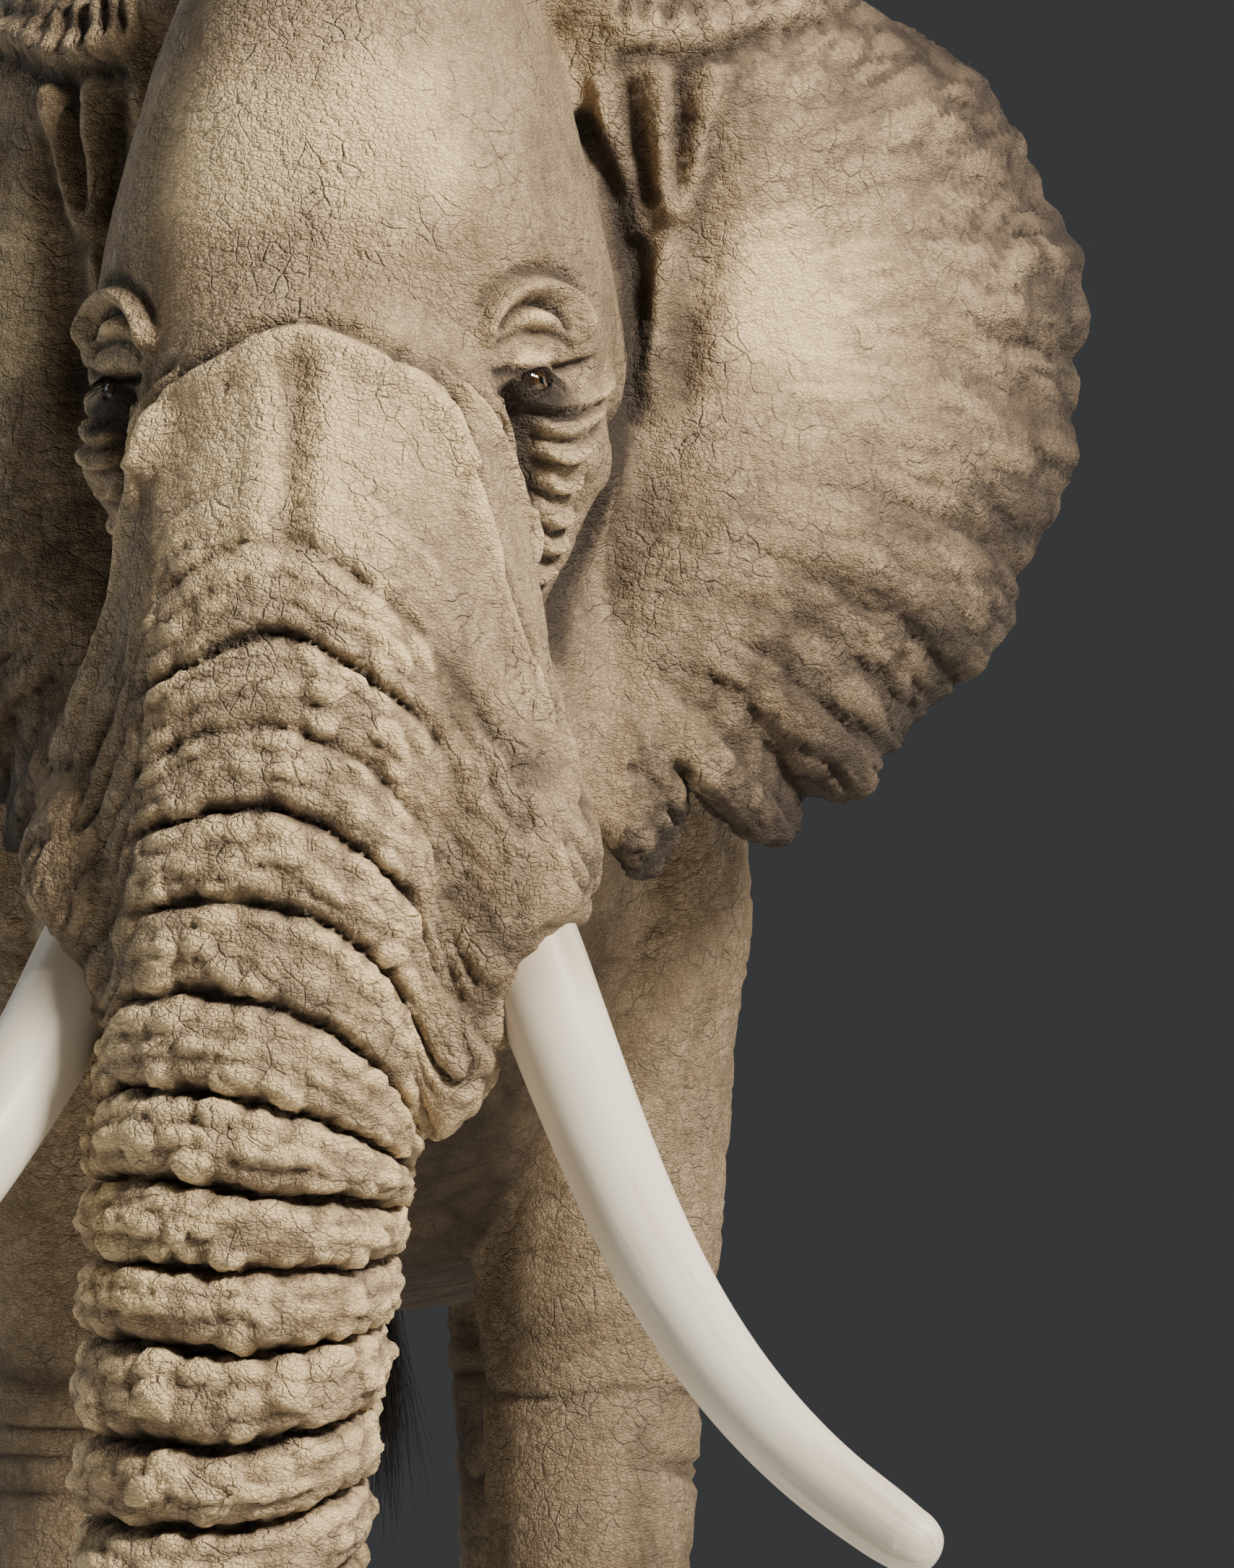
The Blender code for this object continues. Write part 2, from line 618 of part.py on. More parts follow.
def parted(body):
    """Cuts the body with every slab and names the loose pieces by what they hold."""
    for cutter in parting_slabs():
        combine(body, cutter, "DIFFERENCE")
    bpy.ops.object.select_all(action="DESELECT")
    bpy.context.view_layer.objects.active = body
    body.select_set(True)
    bpy.ops.object.mode_set(mode="EDIT")
    bpy.ops.mesh.select_all(action="SELECT")
    bpy.ops.mesh.separate(type="LOOSE")
    bpy.ops.object.mode_set(mode="OBJECT")
    return list(bpy.context.selected_objects)


def middle(obj):
    """The middle of an object's box."""
    corners = [Vector(corner) for corner in obj.bound_box]
    return (Vector(map(min, *corners)) + Vector(map(max, *corners))) / 2


def named(pieces):
    """Gives each loose piece the name of the nearest of the parts' own points."""
    turn = Matrix.Translation(HEAD_PIVOT) @ Matrix.Rotation(HEAD_TURN, 4, "Z") @ Matrix.Translation(-HEAD_PIVOT)
    spots = {**FLESH_PARTS, **{name: turn @ spot for name, spot in HEAD_PARTS.items()}}
    for obj in pieces:
        obj.name = obj.data.name = "loose"
    for name, spot in spots.items():
        nearest = min(pieces, key=lambda obj: (middle(obj) - spot).length)
        pieces.remove(nearest)
        nearest.name = nearest.data.name = name
    if pieces:
        raise ValueError(f"{len(pieces)} loose pieces have no name")
    return [bpy.data.objects[name] for name in spots]


def main():
    """Builds the bull."""
    for obj in list(bpy.data.objects):
        bpy.data.objects.remove(obj)

    body = flesh()

    solids = {}
    for side, name in (("left", "left"), ("right", "right")):
        for build in (ear, tusk, eyeball):
            obj = build(f"{build.__name__}_{name}")
            if side == "right":
                other = mirrored(obj, obj.name + "_r")
                bpy.data.objects.remove(obj)
                obj = other
            solids[build.__name__, side] = with_head(obj)
    for side in ("left", "right"):
        combine(body, solids.pop(("ear", side)), "UNION")

    lower_jaw = with_head(jaw())
    combine(lower_jaw, inflated(body, "round_jaw", CLEARANCE), "DIFFERENCE")
    for side in ("left", "right"):
        socket = tusk("socket", grow=CLEARANCE, longer=CLEARANCE)
        hollow = eyeball("hollow", grow=CLEARANCE)
        for cutter in (socket, hollow):
            if side == "right":
                other = mirrored(cutter, "other_side")
                bpy.data.objects.remove(cutter)
                cutter = other
            combine(body, with_head(cutter), "DIFFERENCE")

    toenails = nails()
    shield = inflated(body, "round_nails", CLEARANCE)
    for obj in toenails:
        combine(obj, shield, "DIFFERENCE", keep=True)
    bpy.data.objects.remove(shield)

    pieces = named(parted(body))
    tuft = tail_tuft()

    skin = material("skin", (0.36, 0.28, 0.20), 0.85)
    ivory = material("ivory", (0.76, 0.72, 0.63), 0.35)
    horn = material("nail", (0.55, 0.47, 0.36), 0.55)
    wet = material("eye", (0.05, 0.03, 0.02), 0.10)
    hair = material("hair", (0.03, 0.025, 0.02), 0.60)
    for obj in (*pieces, lower_jaw):
        obj.data.materials.append(skin)
    for obj in toenails:
        obj.data.materials.append(horn)
    tuft.data.materials.append(hair)
    for side in ("left", "right"):
        solids["tusk", side].name = f"tusk_{side}"
        solids["eyeball", side].name = f"eye_{side}"
        solids["tusk", side].data.materials.append(ivory)
        solids["eyeball", side].data.materials.append(wet)

    corners = [Vector(corner) for obj in bpy.data.objects for corner in obj.bound_box]
    low, high = Vector(map(min, *corners)), Vector(map(max, *corners))
    stand = Matrix.Translation((-(low.x + high.x) / 2, -(low.y + high.y) / 2, -low.z))
    for obj in bpy.data.objects:
        obj.data.transform(stand)
        obj.data.shade_smooth()


main()
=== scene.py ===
"""African bush elephant, an adult bull: the looks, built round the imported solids."""

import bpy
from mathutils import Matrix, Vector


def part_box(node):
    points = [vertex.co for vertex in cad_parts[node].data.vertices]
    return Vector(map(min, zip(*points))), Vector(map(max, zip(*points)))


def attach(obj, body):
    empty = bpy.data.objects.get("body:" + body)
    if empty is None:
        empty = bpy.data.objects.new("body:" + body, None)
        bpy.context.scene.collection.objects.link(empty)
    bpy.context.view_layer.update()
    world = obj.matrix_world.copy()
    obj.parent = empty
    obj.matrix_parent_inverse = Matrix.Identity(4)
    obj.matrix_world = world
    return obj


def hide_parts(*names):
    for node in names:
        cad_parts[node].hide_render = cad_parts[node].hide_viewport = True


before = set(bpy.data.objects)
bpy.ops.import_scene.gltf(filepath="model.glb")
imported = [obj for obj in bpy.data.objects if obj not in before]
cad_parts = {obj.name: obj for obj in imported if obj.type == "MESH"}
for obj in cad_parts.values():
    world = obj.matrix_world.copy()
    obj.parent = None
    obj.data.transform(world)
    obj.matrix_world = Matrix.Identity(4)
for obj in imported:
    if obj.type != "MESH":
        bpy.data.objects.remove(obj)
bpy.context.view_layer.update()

import math

import bmesh
import bpy
import numpy as np
from mathutils import Matrix, Vector, kdtree

# ---------------------------------------------------------------- the bull's own frame
# Every solid stands in one frame, and the head is turned a little at the neck. The left eye's box tells
# where the bull's own frame, from a point under the withers, lies in it.
HEAD_TURN = math.radians(-9.0)
HEAD_PIVOT = Vector((0.0, -2.30, 0.0))
EYE_CENTRE = Vector((0.2715, -2.3536, 2.59))  # the left eye's centre before the head is turned
turn_head = (Matrix.Translation(HEAD_PIVOT) @ Matrix.Rotation(HEAD_TURN, 4, "Z")
             @ Matrix.Translation(-HEAD_PIVOT))
eye_low, eye_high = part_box("eye_left")
place = Matrix.Translation((eye_low + eye_high) / 2 - turn_head @ EYE_CENTRE)
place_head = place @ turn_head


# ---------------------------------------------------------------- room, light and camera
# A pale round floor under broad soft lamps, with a dim plain room behind it. A long lens looks at the face
# from a little below the roots of the tusks and a little to the bull's left.
def new_mesh(name, points, faces):
    """An object of the given points and faces, at the origin."""
    mesh = bpy.data.meshes.new(name)
    mesh.from_pydata([tuple(p) for p in points], [], faces)
    made = bpy.data.objects.new(name, mesh)
    bpy.context.scene.collection.objects.link(made)
    return made


FLOOR_RADIUS = 9.0
floor = new_mesh("floor", [(FLOOR_RADIUS * math.cos(a), FLOOR_RADIUS * math.sin(a), -0.001)
                           for a in np.linspace(0, 2 * math.pi, 96, endpoint=False)], [range(96)])
floor_finish = bpy.data.materials.new("floor")
floor_finish.use_nodes = True
floor_shader = floor_finish.node_tree.nodes["Principled BSDF"]
floor_shader.inputs["Base Color"].default_value = (0.62, 0.61, 0.59, 1)
floor_shader.inputs["Roughness"].default_value = 0.9
floor.data.materials.append(floor_finish)

world = bpy.data.worlds.new("room")
bpy.context.scene.world = world
world.use_nodes = True
world.node_tree.nodes["Background"].inputs["Color"].default_value = (0.80, 0.83, 0.88, 1)
world.node_tree.nodes["Background"].inputs["Strength"].default_value = 0.055


def lamp(name, at, towards, size, power, colour):
    """A square soft lamp that shines from one point towards another."""
    data = bpy.data.lights.new(name, "AREA")
    data.energy, data.size, data.color = power, size, colour
    made = bpy.data.objects.new(name, data)
    made.location = at
    made.rotation_euler = (Vector(towards) - Vector(at)).to_track_quat("-Z", "Y").to_euler()
    bpy.context.scene.collection.objects.link(made)


lamp("key", (4.1, -6.0, 6.3), (0.30, -2.3, 2.1), 1.5, 1250, (1.0, 0.935, 0.85))
lamp("fill", (-9.0, 1.5, 5.0), (0, 0.6, 1.6), 6.0, 290, (0.88, 0.94, 1.0))
lamp("back", (-3.0, 9.0, 8.0), (0, 0.5, 1.8), 6.0, 480, (1.0, 1.0, 1.0))
lamp("side", (9.0, 3.0, 5.0), (0, 0.8, 1.6), 6.0, 240, (1.0, 0.98, 0.95))

CAMERA_TURN = math.radians(1.5)
CAMERA_AWAY, CAMERA_HEIGHT = 5.5, 1.50  # from the face, and above the floor
AIM_ASIDE, AIM_HEIGHT = 0.432, 2.02
VIEW_RISE = 1.005 / 5.52  # half the height that the frame takes in, for each metre away
camera_data = bpy.data.cameras.new("camera")
camera_data.sensor_fit = "VERTICAL"
camera_data.sensor_height = 24
camera_data.angle_y = 2 * math.atan(VIEW_RISE)
camera = bpy.data.objects.new("camera", camera_data)
face = place_head @ Vector((0, -2.67, 0))
towards_camera = Vector((math.sin(CAMERA_TURN), -math.cos(CAMERA_TURN), 0))
across_view = Vector((math.cos(CAMERA_TURN), math.sin(CAMERA_TURN), 0))
camera.location = face + towards_camera * CAMERA_AWAY + Vector((0, 0, CAMERA_HEIGHT))
aim = face + across_view * AIM_ASIDE + Vector((0, 0, AIM_HEIGHT))
camera.rotation_euler = (aim - camera.location).to_track_quat("-Z", "Y").to_euler()
bpy.context.scene.collection.objects.link(camera)
bpy.context.scene.camera = camera

# ---------------------------------------------------------------- hide
# One skin over the whole bull, from the trunk's tip to the tail. The flesh is laid up in rounded lengths
# along the bones, melted into one body, and then folded and wrinkled.
SKIN_VOXEL = 0.0075
MELTING = 4032  # rounds of smoothing that voxels of 1 mm would need
EYE_PATCH = 0.085  # how far from an eye the mesh is finer
SKIN_FACES, BACK_POINTS = 196000, 30000


def smooth_curve(rows, steps):
    """Rows of numbers as a Catmull-Rom curve through them, with that many steps between two rows."""
    ends = np.array([rows[0], *rows, rows[-1]], float)
    out = []
    for a, b, c, d in zip(ends, ends[1:], ends[2:], ends[3:]):
        for t in np.arange(steps) / steps:
            out.append(0.5 * (2 * b + (c - a) * t + (2 * a - 5 * b + 4 * c - d) * t * t
                              + (3 * b - a - 3 * c + d) * t ** 3))
    return np.array([*out, ends[-1]])


def unit(vectors):
    """Rows of vectors, each made one long."""
    return vectors / np.linalg.norm(vectors, axis=-1, keepdims=True)


def placed(points, matrix, mirror=False):
    """Points moved by a matrix, once they are reflected onto the right side where mirror says so."""
    if mirror:
        points = points * (-1, 1, 1)
    return points @ np.array(matrix)[:3, :3].T + np.array(matrix)[:3, 3]


def ring_faces(rings, segments):
    """The faces of a closed tube of that many rings, with its two ends."""
    faces = [(r * segments + k, r * segments + (k + 1) % segments,
              (r + 1) * segments + (k + 1) % segments, (r + 1) * segments + k)
             for r in range(rings - 1) for k in range(segments)]
    return [*faces, tuple(range(segments)), tuple(range((rings - 1) * segments, rings * segments))]


def tube(stations, matrix=place, mirror=False, steps=8, segments=72):
    """Points and faces of a closed tube of rounded sections. A station is x, y, z, half width, half depth,
    egg, which widens the section behind, and the exponent that squares it."""
    rows = smooth_curve(stations, steps)
    middle = rows[:, :3]
    along = unit(np.gradient(middle, axis=0))
    across = unit(np.array([1.0, 0, 0]) - along * along[:, :1])
    deep = np.cross(along, across)
    angles = np.linspace(0, 2 * math.pi, segments, endpoint=False)
    cos, sin, bend = np.cos(angles), np.sin(angles), 2 / rows[:, 6:7]
    u = np.sign(cos) * abs(cos) ** bend
    v = np.sign(sin) * abs(sin) ** bend
    points = (middle[:, None] + across[:, None] * (rows[:, 3:4] * u * (1 - rows[:, 5:6] * v))[..., None]
              + deep[:, None] * (rows[:, 4:5] * v)[..., None]).reshape(-1, 3)
    return placed(points, matrix, mirror), ring_faces(len(rows), segments)


def ball(centre, radii, turn=0.0, matrix=place_head, mirror=False, rings=24, segments=36):
    """Points and faces of a ball stretched to three radii and turned about the upright."""
    t = np.linspace(0.02, math.pi - 0.02, rings)
    a = np.linspace(0, 2 * math.pi, segments, endpoint=False)
    round_off = np.stack([np.outer(np.sin(t), np.cos(a)), np.outer(np.sin(t), np.sin(a)),
                          np.outer(np.cos(t), np.ones(segments))], -1).reshape(-1, 3) * radii
    points = round_off @ np.array(Matrix.Rotation(turn, 3, "Z")).T + np.array(centre)
    return placed(points, matrix, mirror), ring_faces(rings, segments)


TORSO = (  # y, top, bottom, half width
    (-1.46, 2.86, 1.95, 0.30), (-1.18, 3.03, 1.60, 0.48), (-0.80, 3.19, 1.38, 0.61),
    (-0.30, 3.13, 1.32, 0.69), (0.25, 3.04, 1.26, 0.75), (0.70, 3.07, 1.26, 0.73),
    (1.08, 3.12, 1.41, 0.64), (1.42, 2.99, 1.66, 0.51), (1.68, 2.78, 1.95, 0.32), (1.78, 2.62, 2.16, 0.14))
NECK = (  # y, height of the middle, half width, half height, share of the head's turn
    (-0.75, 2.40, 0.50, 0.70, 0.0), (-1.15, 2.48, 0.48, 0.66, 0.2), (-1.50, 2.60, 0.41, 0.60, 0.6),
    (-1.80, 2.68, 0.36, 0.55, 1.0), (-2.02, 2.70, 0.30, 0.46, 1.0))
DEWLAP = ((0.02, -1.95, 2.02, 0.18, 0.16, 0, 2), (0.00, -1.55, 1.93, 0.20, 0.20, 0, 2),
          (0.00, -1.10, 1.78, 0.26, 0.26, 0, 2), (0.00, -0.80, 1.72, 0.26, 0.26, 0, 2))
TAIL = ((0.00, 1.42, 2.66, 0.060, 0.060, 0, 2), (0.00, 1.60, 2.68, 0.110, 0.100, 0, 2),
        (0.00, 1.74, 2.58, 0.095, 0.095, 0, 2),
        (0.00, 1.84, 2.38, 0.066, 0.070, 0, 2), (0.01, 1.875, 2.05, 0.050, 0.050, 0, 2),
        (0.03, 1.88, 1.65, 0.041, 0.039, 0, 2), (0.06, 1.89, 1.28, 0.034, 0.031, 0, 2),
        (0.07, 1.90, 1.16, 0.030, 0.027, 0, 2))
FORELEG = (  # x, y, z, half width, half depth, squareness, share of the stride
    (0.30, -0.64, 2.80, 0.10, 0.16, 2, 0), (0.41, -0.70, 2.52, 0.19, 0.28, 2, 0),
    (0.47, -0.78, 2.10, 0.22, 0.34, 2.1, 0), (0.46, -0.78, 1.72, 0.22, 0.31, 2.1, 0),
    (0.44, -0.76, 1.38, 0.205, 0.255, 2.1, 0.10), (0.425, -0.77, 1.05, 0.180, 0.205, 2, 0.35),
    (0.415, -0.81, 0.72, 0.165, 0.185, 2, 0.65), (0.41, -0.81, 0.42, 0.160, 0.172, 2, 0.85),
    (0.41, -0.82, 0.24, 0.185, 0.195, 2, 0.95), (0.41, -0.84, 0.09, 0.228, 0.235, 2, 1),
    (0.41, -0.85, -0.07, 0.240, 0.248, 2, 1))
HINDLEG = (
    (0.24, 1.06, 2.78, 0.10, 0.18, 2, 0), (0.38, 1.07, 2.48, 0.21, 0.34, 2, 0),
    (0.43, 1.08, 2.05, 0.24, 0.41, 2.1, 0), (0.43, 1.04, 1.65, 0.24, 0.36, 2.1, 0),
    (0.41, 0.99, 1.30, 0.205, 0.27, 2, 0.15), (0.40, 1.00, 1.02, 0.180, 0.215, 2, 0.4),
    (0.39, 1.10, 0.74, 0.155, 0.172, 2, 0.65), (0.38, 1.17, 0.46, 0.142, 0.158, 2, 0.85),
    (0.38, 1.15, 0.26, 0.158, 0.172, 2, 0.95), (0.38, 1.11, 0.09, 0.190, 0.218, 2, 1),
    (0.38, 1.10, -0.07, 0.200, 0.230, 2, 1))
SKULL = (  # z, y of the middle, half width, half depth, squareness
    (1.80, -2.10, 0.09, 0.14, 2), (1.90, -2.08, 0.19, 0.24, 2), (2.08, -2.05, 0.270, 0.34, 2.1),
    (2.28, -2.04, 0.300, 0.41, 2.2), (2.48, -2.04, 0.355, 0.45, 2.3), (2.63, -2.04, 0.376, 0.47, 2.3),
    (2.80, -2.03, 0.360, 0.48, 2.3), (2.98, -2.01, 0.318, 0.47, 2.2), (3.14, -1.98, 0.272, 0.43, 2.1),
    (3.27, -1.95, 0.210, 0.34, 2), (3.35, -1.92, 0.120, 0.20, 2), (3.37, -1.92, 0.030, 0.06, 2))
TRUNK = (
    (0.000, -2.22, 2.80, 0.180, 0.170, 0, 2.0), (0.000, -2.34, 2.56, 0.250, 0.230, 0, 2.1),
    (-0.005, -2.41, 2.28, 0.260, 0.245, 0, 2.2), (-0.020, -2.46, 1.98, 0.248, 0.225, 0, 2.3),
    (-0.050, -2.49, 1.70, 0.222, 0.204, 0, 2.3), (-0.080, -2.50, 1.42, 0.197, 0.188, 0, 2.2),
    (-0.098, -2.50, 1.12, 0.181, 0.172, 0, 2.2), (-0.102, -2.49, 0.82, 0.160, 0.152, 0, 2.2),
    (-0.096, -2.47, 0.54, 0.133, 0.125, 0, 2.2), (-0.085, -2.46, 0.32, 0.110, 0.102, 0, 2.1),
    (-0.075, -2.51, 0.165, 0.096, 0.085, 0, 2.1), (-0.070, -2.615, 0.115, 0.087, 0.072, 0, 2.1),
    (-0.068, -2.69, 0.125, 0.080, 0.062, 0, 2.1))
SHEATH = ((0.10, -2.28, 2.56, 0.125, 0.130, 0, 2), (0.145, -2.34, 2.34, 0.140, 0.150, 0, 2),
          (0.190, -2.39, 2.12, 0.145, 0.155, 0, 2), (0.240, -2.435, 1.94, 0.137, 0.140, 0, 2),
          (0.283, -2.458, 1.82, 0.116, 0.118, 0, 2), (0.293, -2.463, 1.785, 0.088, 0.088, 0, 2))
JAW = ((0, -1.92, 2.02, 0.17, 0.13, 0, 2.2), (0, -2.05, 1.93, 0.19, 0.14, 0, 2.2),
       (0, -2.18, 1.83, 0.16, 0.12, 0, 2.2), (0, -2.28, 1.72, 0.105, 0.085, 0, 2),
       (0, -2.325, 1.62, 0.055, 0.050, 0, 2), (0, -2.335, 1.575, 0.020, 0.020, 0, 2))
STRIDES = (  # how far each foot is set ahead of its joint
    (FORELEG, 0.10, False), (FORELEG, -0.06, True), (HINDLEG, -0.10, False), (HINDLEG, 0.12, True))

shells = [
    tube([(0, y, (top + bottom) / 2, width, (top - bottom) / 2, -0.13, 2.15)
          for y, top, bottom, width in TORSO]),
    tube([(math.sin(HEAD_TURN) * (HEAD_PIVOT.y - y) * share, y, z, width, height, -0.04, 2.2)
          for y, z, width, height, share in NECK]),
    tube(DEWLAP), tube(TAIL, segments=32),
    *(tube([(x, y - share * stride, z, width, depth, 0, square)
            for x, y, z, width, depth, square, share in leg], mirror=mirror)
      for leg, stride, mirror in STRIDES),
    tube([(0, y, z, width, depth, 0, square) for z, y, width, depth, square in SKULL], place_head),
    tube(TRUNK, place_head), tube(JAW, place_head),
    ball((0.0, -2.02, 3.20), (0.17, 0.24, 0.215)),  # crown
]
for mirror in (False, True):
    shells += [
        tube(SHEATH, place_head, mirror),
        ball((0.195, -2.50, 1.76), (0.075, 0.075, 0.13), mirror=mirror),  # lip beside the trunk
        ball((0.235, -2.02, 2.22), (0.105, 0.26, 0.30), mirror=mirror),  # cheek
        ball((0.285, -2.275, 2.66), (0.075, 0.10, 0.060), math.radians(-35), mirror=mirror),  # brow
        ball((0.315, -2.10, 2.52), (0.065, 0.24, 0.075), mirror=mirror),  # cheekbone
        ball((0.345, -1.925, 3.15), (0.100, 0.070, 0.155), mirror=mirror),  # root of the ear
        ball((0.275, -1.900, 3.24), (0.100, 0.150, 0.070), mirror=mirror),  # flap above the root
    ]

EAR_ROOT_TOP, EAR_ROOT_BOTTOM = np.array((0.27, -1.93, 3.10)), np.array((0.22, -1.98, 2.03))
EAR_SWEEP, EAR_PLEATS, EAR_MIDDLE = math.radians(40.0), 9, 2.66
EAR_FRONT = np.array((0.30, -1.95))
EAR_THICK, EAR_THIN = 0.052, 0.018
EAR_RIM = (
    (0.02, 0.56), (0.24, 0.69), (0.52, 0.68), (0.77, 0.59), (0.95, 0.43), (1.04, 0.22), (1.01, 0.02),
    (0.90, -0.19), (0.77, -0.36), (0.60, -0.50), (0.45, -0.59), (0.31, -0.65), (0.21, -0.58),
    (0.12, -0.69), (0.03, -0.66))
EAR_NOTCHES = (  # place round the rim, share of the reach taken off, and width
    (0.716, 0.070, 0.012), (0.655, 0.020, 0.010), (0.556, 0.022, 0.010), (0.500, 0.018, 0.008),
    (0.455, 0.020, 0.007), (0.415, 0.016, 0.006), (0.375, 0.018, 0.007), (0.335, 0.016, 0.006),
    (0.290, 0.018, 0.008), (0.860, 0.055, 0.014), (0.240, 0.014, 0.008))
EAR_RIDGES = (0, 0.20, 0.45, 0.62, 0.95, 1), (0, 2, 12, 19, 27, 28)  # place round the rim, and ridges so far
EAR_COLUMNS, EAR_ROWS = 400, 90


def ease(value, low, high):
    """0 below low, 1 above high, and a smooth step between."""
    t = np.clip((value - low) / (high - low), 0, 1)
    return t * t * (3 - 2 * t)


def bell(value, width):
    """1 where the value is 0, and less and less away from it, next to nothing at twice the width."""
    return np.exp(-(value / width) ** 2)


def ear_ridges(across, out):
    """The number of the ear's ridge at a place, how high it stands there, from 0 between two ridges to 1,
    and how far the short ridges of the rim and the long ones of the lower ear have set in."""
    number = np.interp(across, *EAR_RIDGES)
    wavy = number + 0.30 * np.sin(1.7 * number) + 0.12 * np.sin(5 * out + 2.9 * number)
    starts = 0.58 + 0.10 * np.sin(2.9 * number)
    short = ease(out, starts, starts + 0.25) * ease(across, 0.14, 0.22)
    long = ease(out, starts - 0.42, starts + 0.05) * ease(across, 0.42, 0.58)
    return number, np.abs(np.sin(math.pi * wavy)) ** 0.6, short, long


def ear_sheet():
    """The left ear's middle surface on a grid: columns run round the rim, and rows from the root to it."""
    across, out = (a.ravel() for a in np.meshgrid(
        np.linspace(0, 1, EAR_COLUMNS + 1), np.linspace(0, 1, EAR_ROWS + 1), indexing="ij"))
    rim = smooth_curve(EAR_RIM, 12)
    steps = np.linspace(0, 1, len(rim))
    u, v = np.interp(across, steps, rim[:, 0]), np.interp(across, steps, rim[:, 1])
    lower = np.clip((across - 0.45) / 0.55, 0, None)
    scallop = 1 + 0.022 * np.sin(math.pi * EAR_PLEATS * across) * (0.3 + lower)
    ridge_at, stand, short, long = ear_ridges(across, out)
    scallop += 0.016 * (np.abs(np.sin(math.pi * (ridge_at + 0.30 * np.sin(1.7 * ridge_at)))) ** 0.6 - 0.6) * (
        (0.6 + 0.4 * np.sin(3.1 * ridge_at)) * ease(across, 0.14, 0.22))
    for spot, depth, width in EAR_NOTCHES:
        scallop -= depth * bell(across - spot, width)
    away = np.array((math.cos(EAR_SWEEP), math.sin(EAR_SWEEP)))
    facing = np.array((math.sin(EAR_SWEEP), -math.cos(EAR_SWEEP)))
    edge = np.column_stack([EAR_FRONT + away * (u * scallop)[:, None], EAR_MIDDLE + v * scallop])
    root = EAR_ROOT_TOP + (EAR_ROOT_BOTTOM - EAR_ROOT_TOP) * across[:, None]
    point = root + (edge - root) * out[:, None]
    spread = np.linalg.norm(point[:, :2] - EAR_FRONT, axis=1)
    dish = 0.15 * np.sin(math.pi * out ** 0.8) * (0.45 + 0.55 * np.sin(math.pi * across))
    curl = (-0.10 * np.clip(out - 0.55, 0, None) ** 2 / 0.2
            * np.sin(math.pi * np.minimum(1, across * 1.25)) ** 2)
    pleat = (0.017 * out ** 2 * np.cos(2 * math.pi * EAR_PLEATS * across)
             * np.minimum(1, spread / 0.3))
    ridges = (stand - 0.6) * ((0.8 + 0.2 * np.sin(2.3 * ridge_at)) * (0.012 * short + 0.017 * long))
    wave = 0.022 * np.sin(math.pi * out) * np.sin(2 * math.pi * 2.2 * across + 0.6)
    valley = -0.045 * bell(out - 0.10, 0.09) * ease(across, 0.02, 0.10) * (
        1 - ease(across, 0.70, 0.85))
    point[:, :2] += facing * (dish + curl + pleat + ridges + wave + valley)[:, None]
    return point.reshape(EAR_COLUMNS + 1, EAR_ROWS + 1, 3)


def ear_shell(mirror):
    """Points and faces of an ear, thick at its root and thin at its rim."""
    grid = ear_sheet()
    normal = unit(np.cross(np.gradient(grid, axis=0), np.gradient(grid, axis=1)))
    half = 0.5 * (EAR_THICK + (EAR_THIN - EAR_THICK) * np.linspace(0, 1, EAR_ROWS + 1) ** 0.6)
    points = np.concatenate([(grid + normal * half[None, :, None]).reshape(-1, 3),
                             (grid - normal * half[None, :, None]).reshape(-1, 3)])
    wide, layer = EAR_ROWS + 1, (EAR_COLUMNS + 1) * (EAR_ROWS + 1)
    faces = []
    for c in range(EAR_COLUMNS):
        for r in range(EAR_ROWS):
            a, b = c * wide + r, (c + 1) * wide + r
            faces += [(a, b, b + 1, a + 1), (a + layer, a + 1 + layer, b + 1 + layer, b + layer)]
        for r in (0, EAR_ROWS):
            a, b = c * wide + r, (c + 1) * wide + r
            faces.append((a, b, b + layer, a + layer))
    for r in range(EAR_ROWS):
        for c in (0, EAR_COLUMNS):
            a = c * wide + r
            faces.append((a, a + 1, a + 1 + layer, a + layer))
    return placed(points, place_head, mirror), faces


shells += [ear_shell(False), ear_shell(True)]

points, faces, count = [], [], 0
for shell_points, shell_faces in shells:
    points.append(shell_points)
    faces += [tuple(i + count for i in face) for face in shell_faces]
    count += len(shell_points)
skin = new_mesh("skin", np.concatenate(points), faces)


def apply_modifier(obj, kind, **settings):
    """Adds a modifier, sets it up and applies it."""
    modifier = obj.modifiers.new(kind.title(), kind)
    for name, value in settings.items():
        setattr(modifier, name, value)
    bpy.context.view_layer.objects.active = obj
    bpy.ops.object.modifier_apply(modifier=modifier.name)


def coordinates(obj):
    """An object's points as an array."""
    co = np.empty(len(obj.data.vertices) * 3, np.float32)
    obj.data.vertices.foreach_get("co", co)
    return co.reshape(-1, 3).astype(float)


def face_outward(obj):
    """Turns an object's faces outwards."""
    bm = bmesh.new()
    bm.from_mesh(obj.data)
    bmesh.ops.recalc_face_normals(bm, faces=bm.faces)
    bm.to_mesh(obj.data)
    bm.free()


face_outward(skin)
apply_modifier(skin, "REMESH", mode="VOXEL", voxel_size=SKIN_VOXEL)

to_head = np.array(place_head.inverted())
co = coordinates(skin)
head_co = placed(co, to_head)

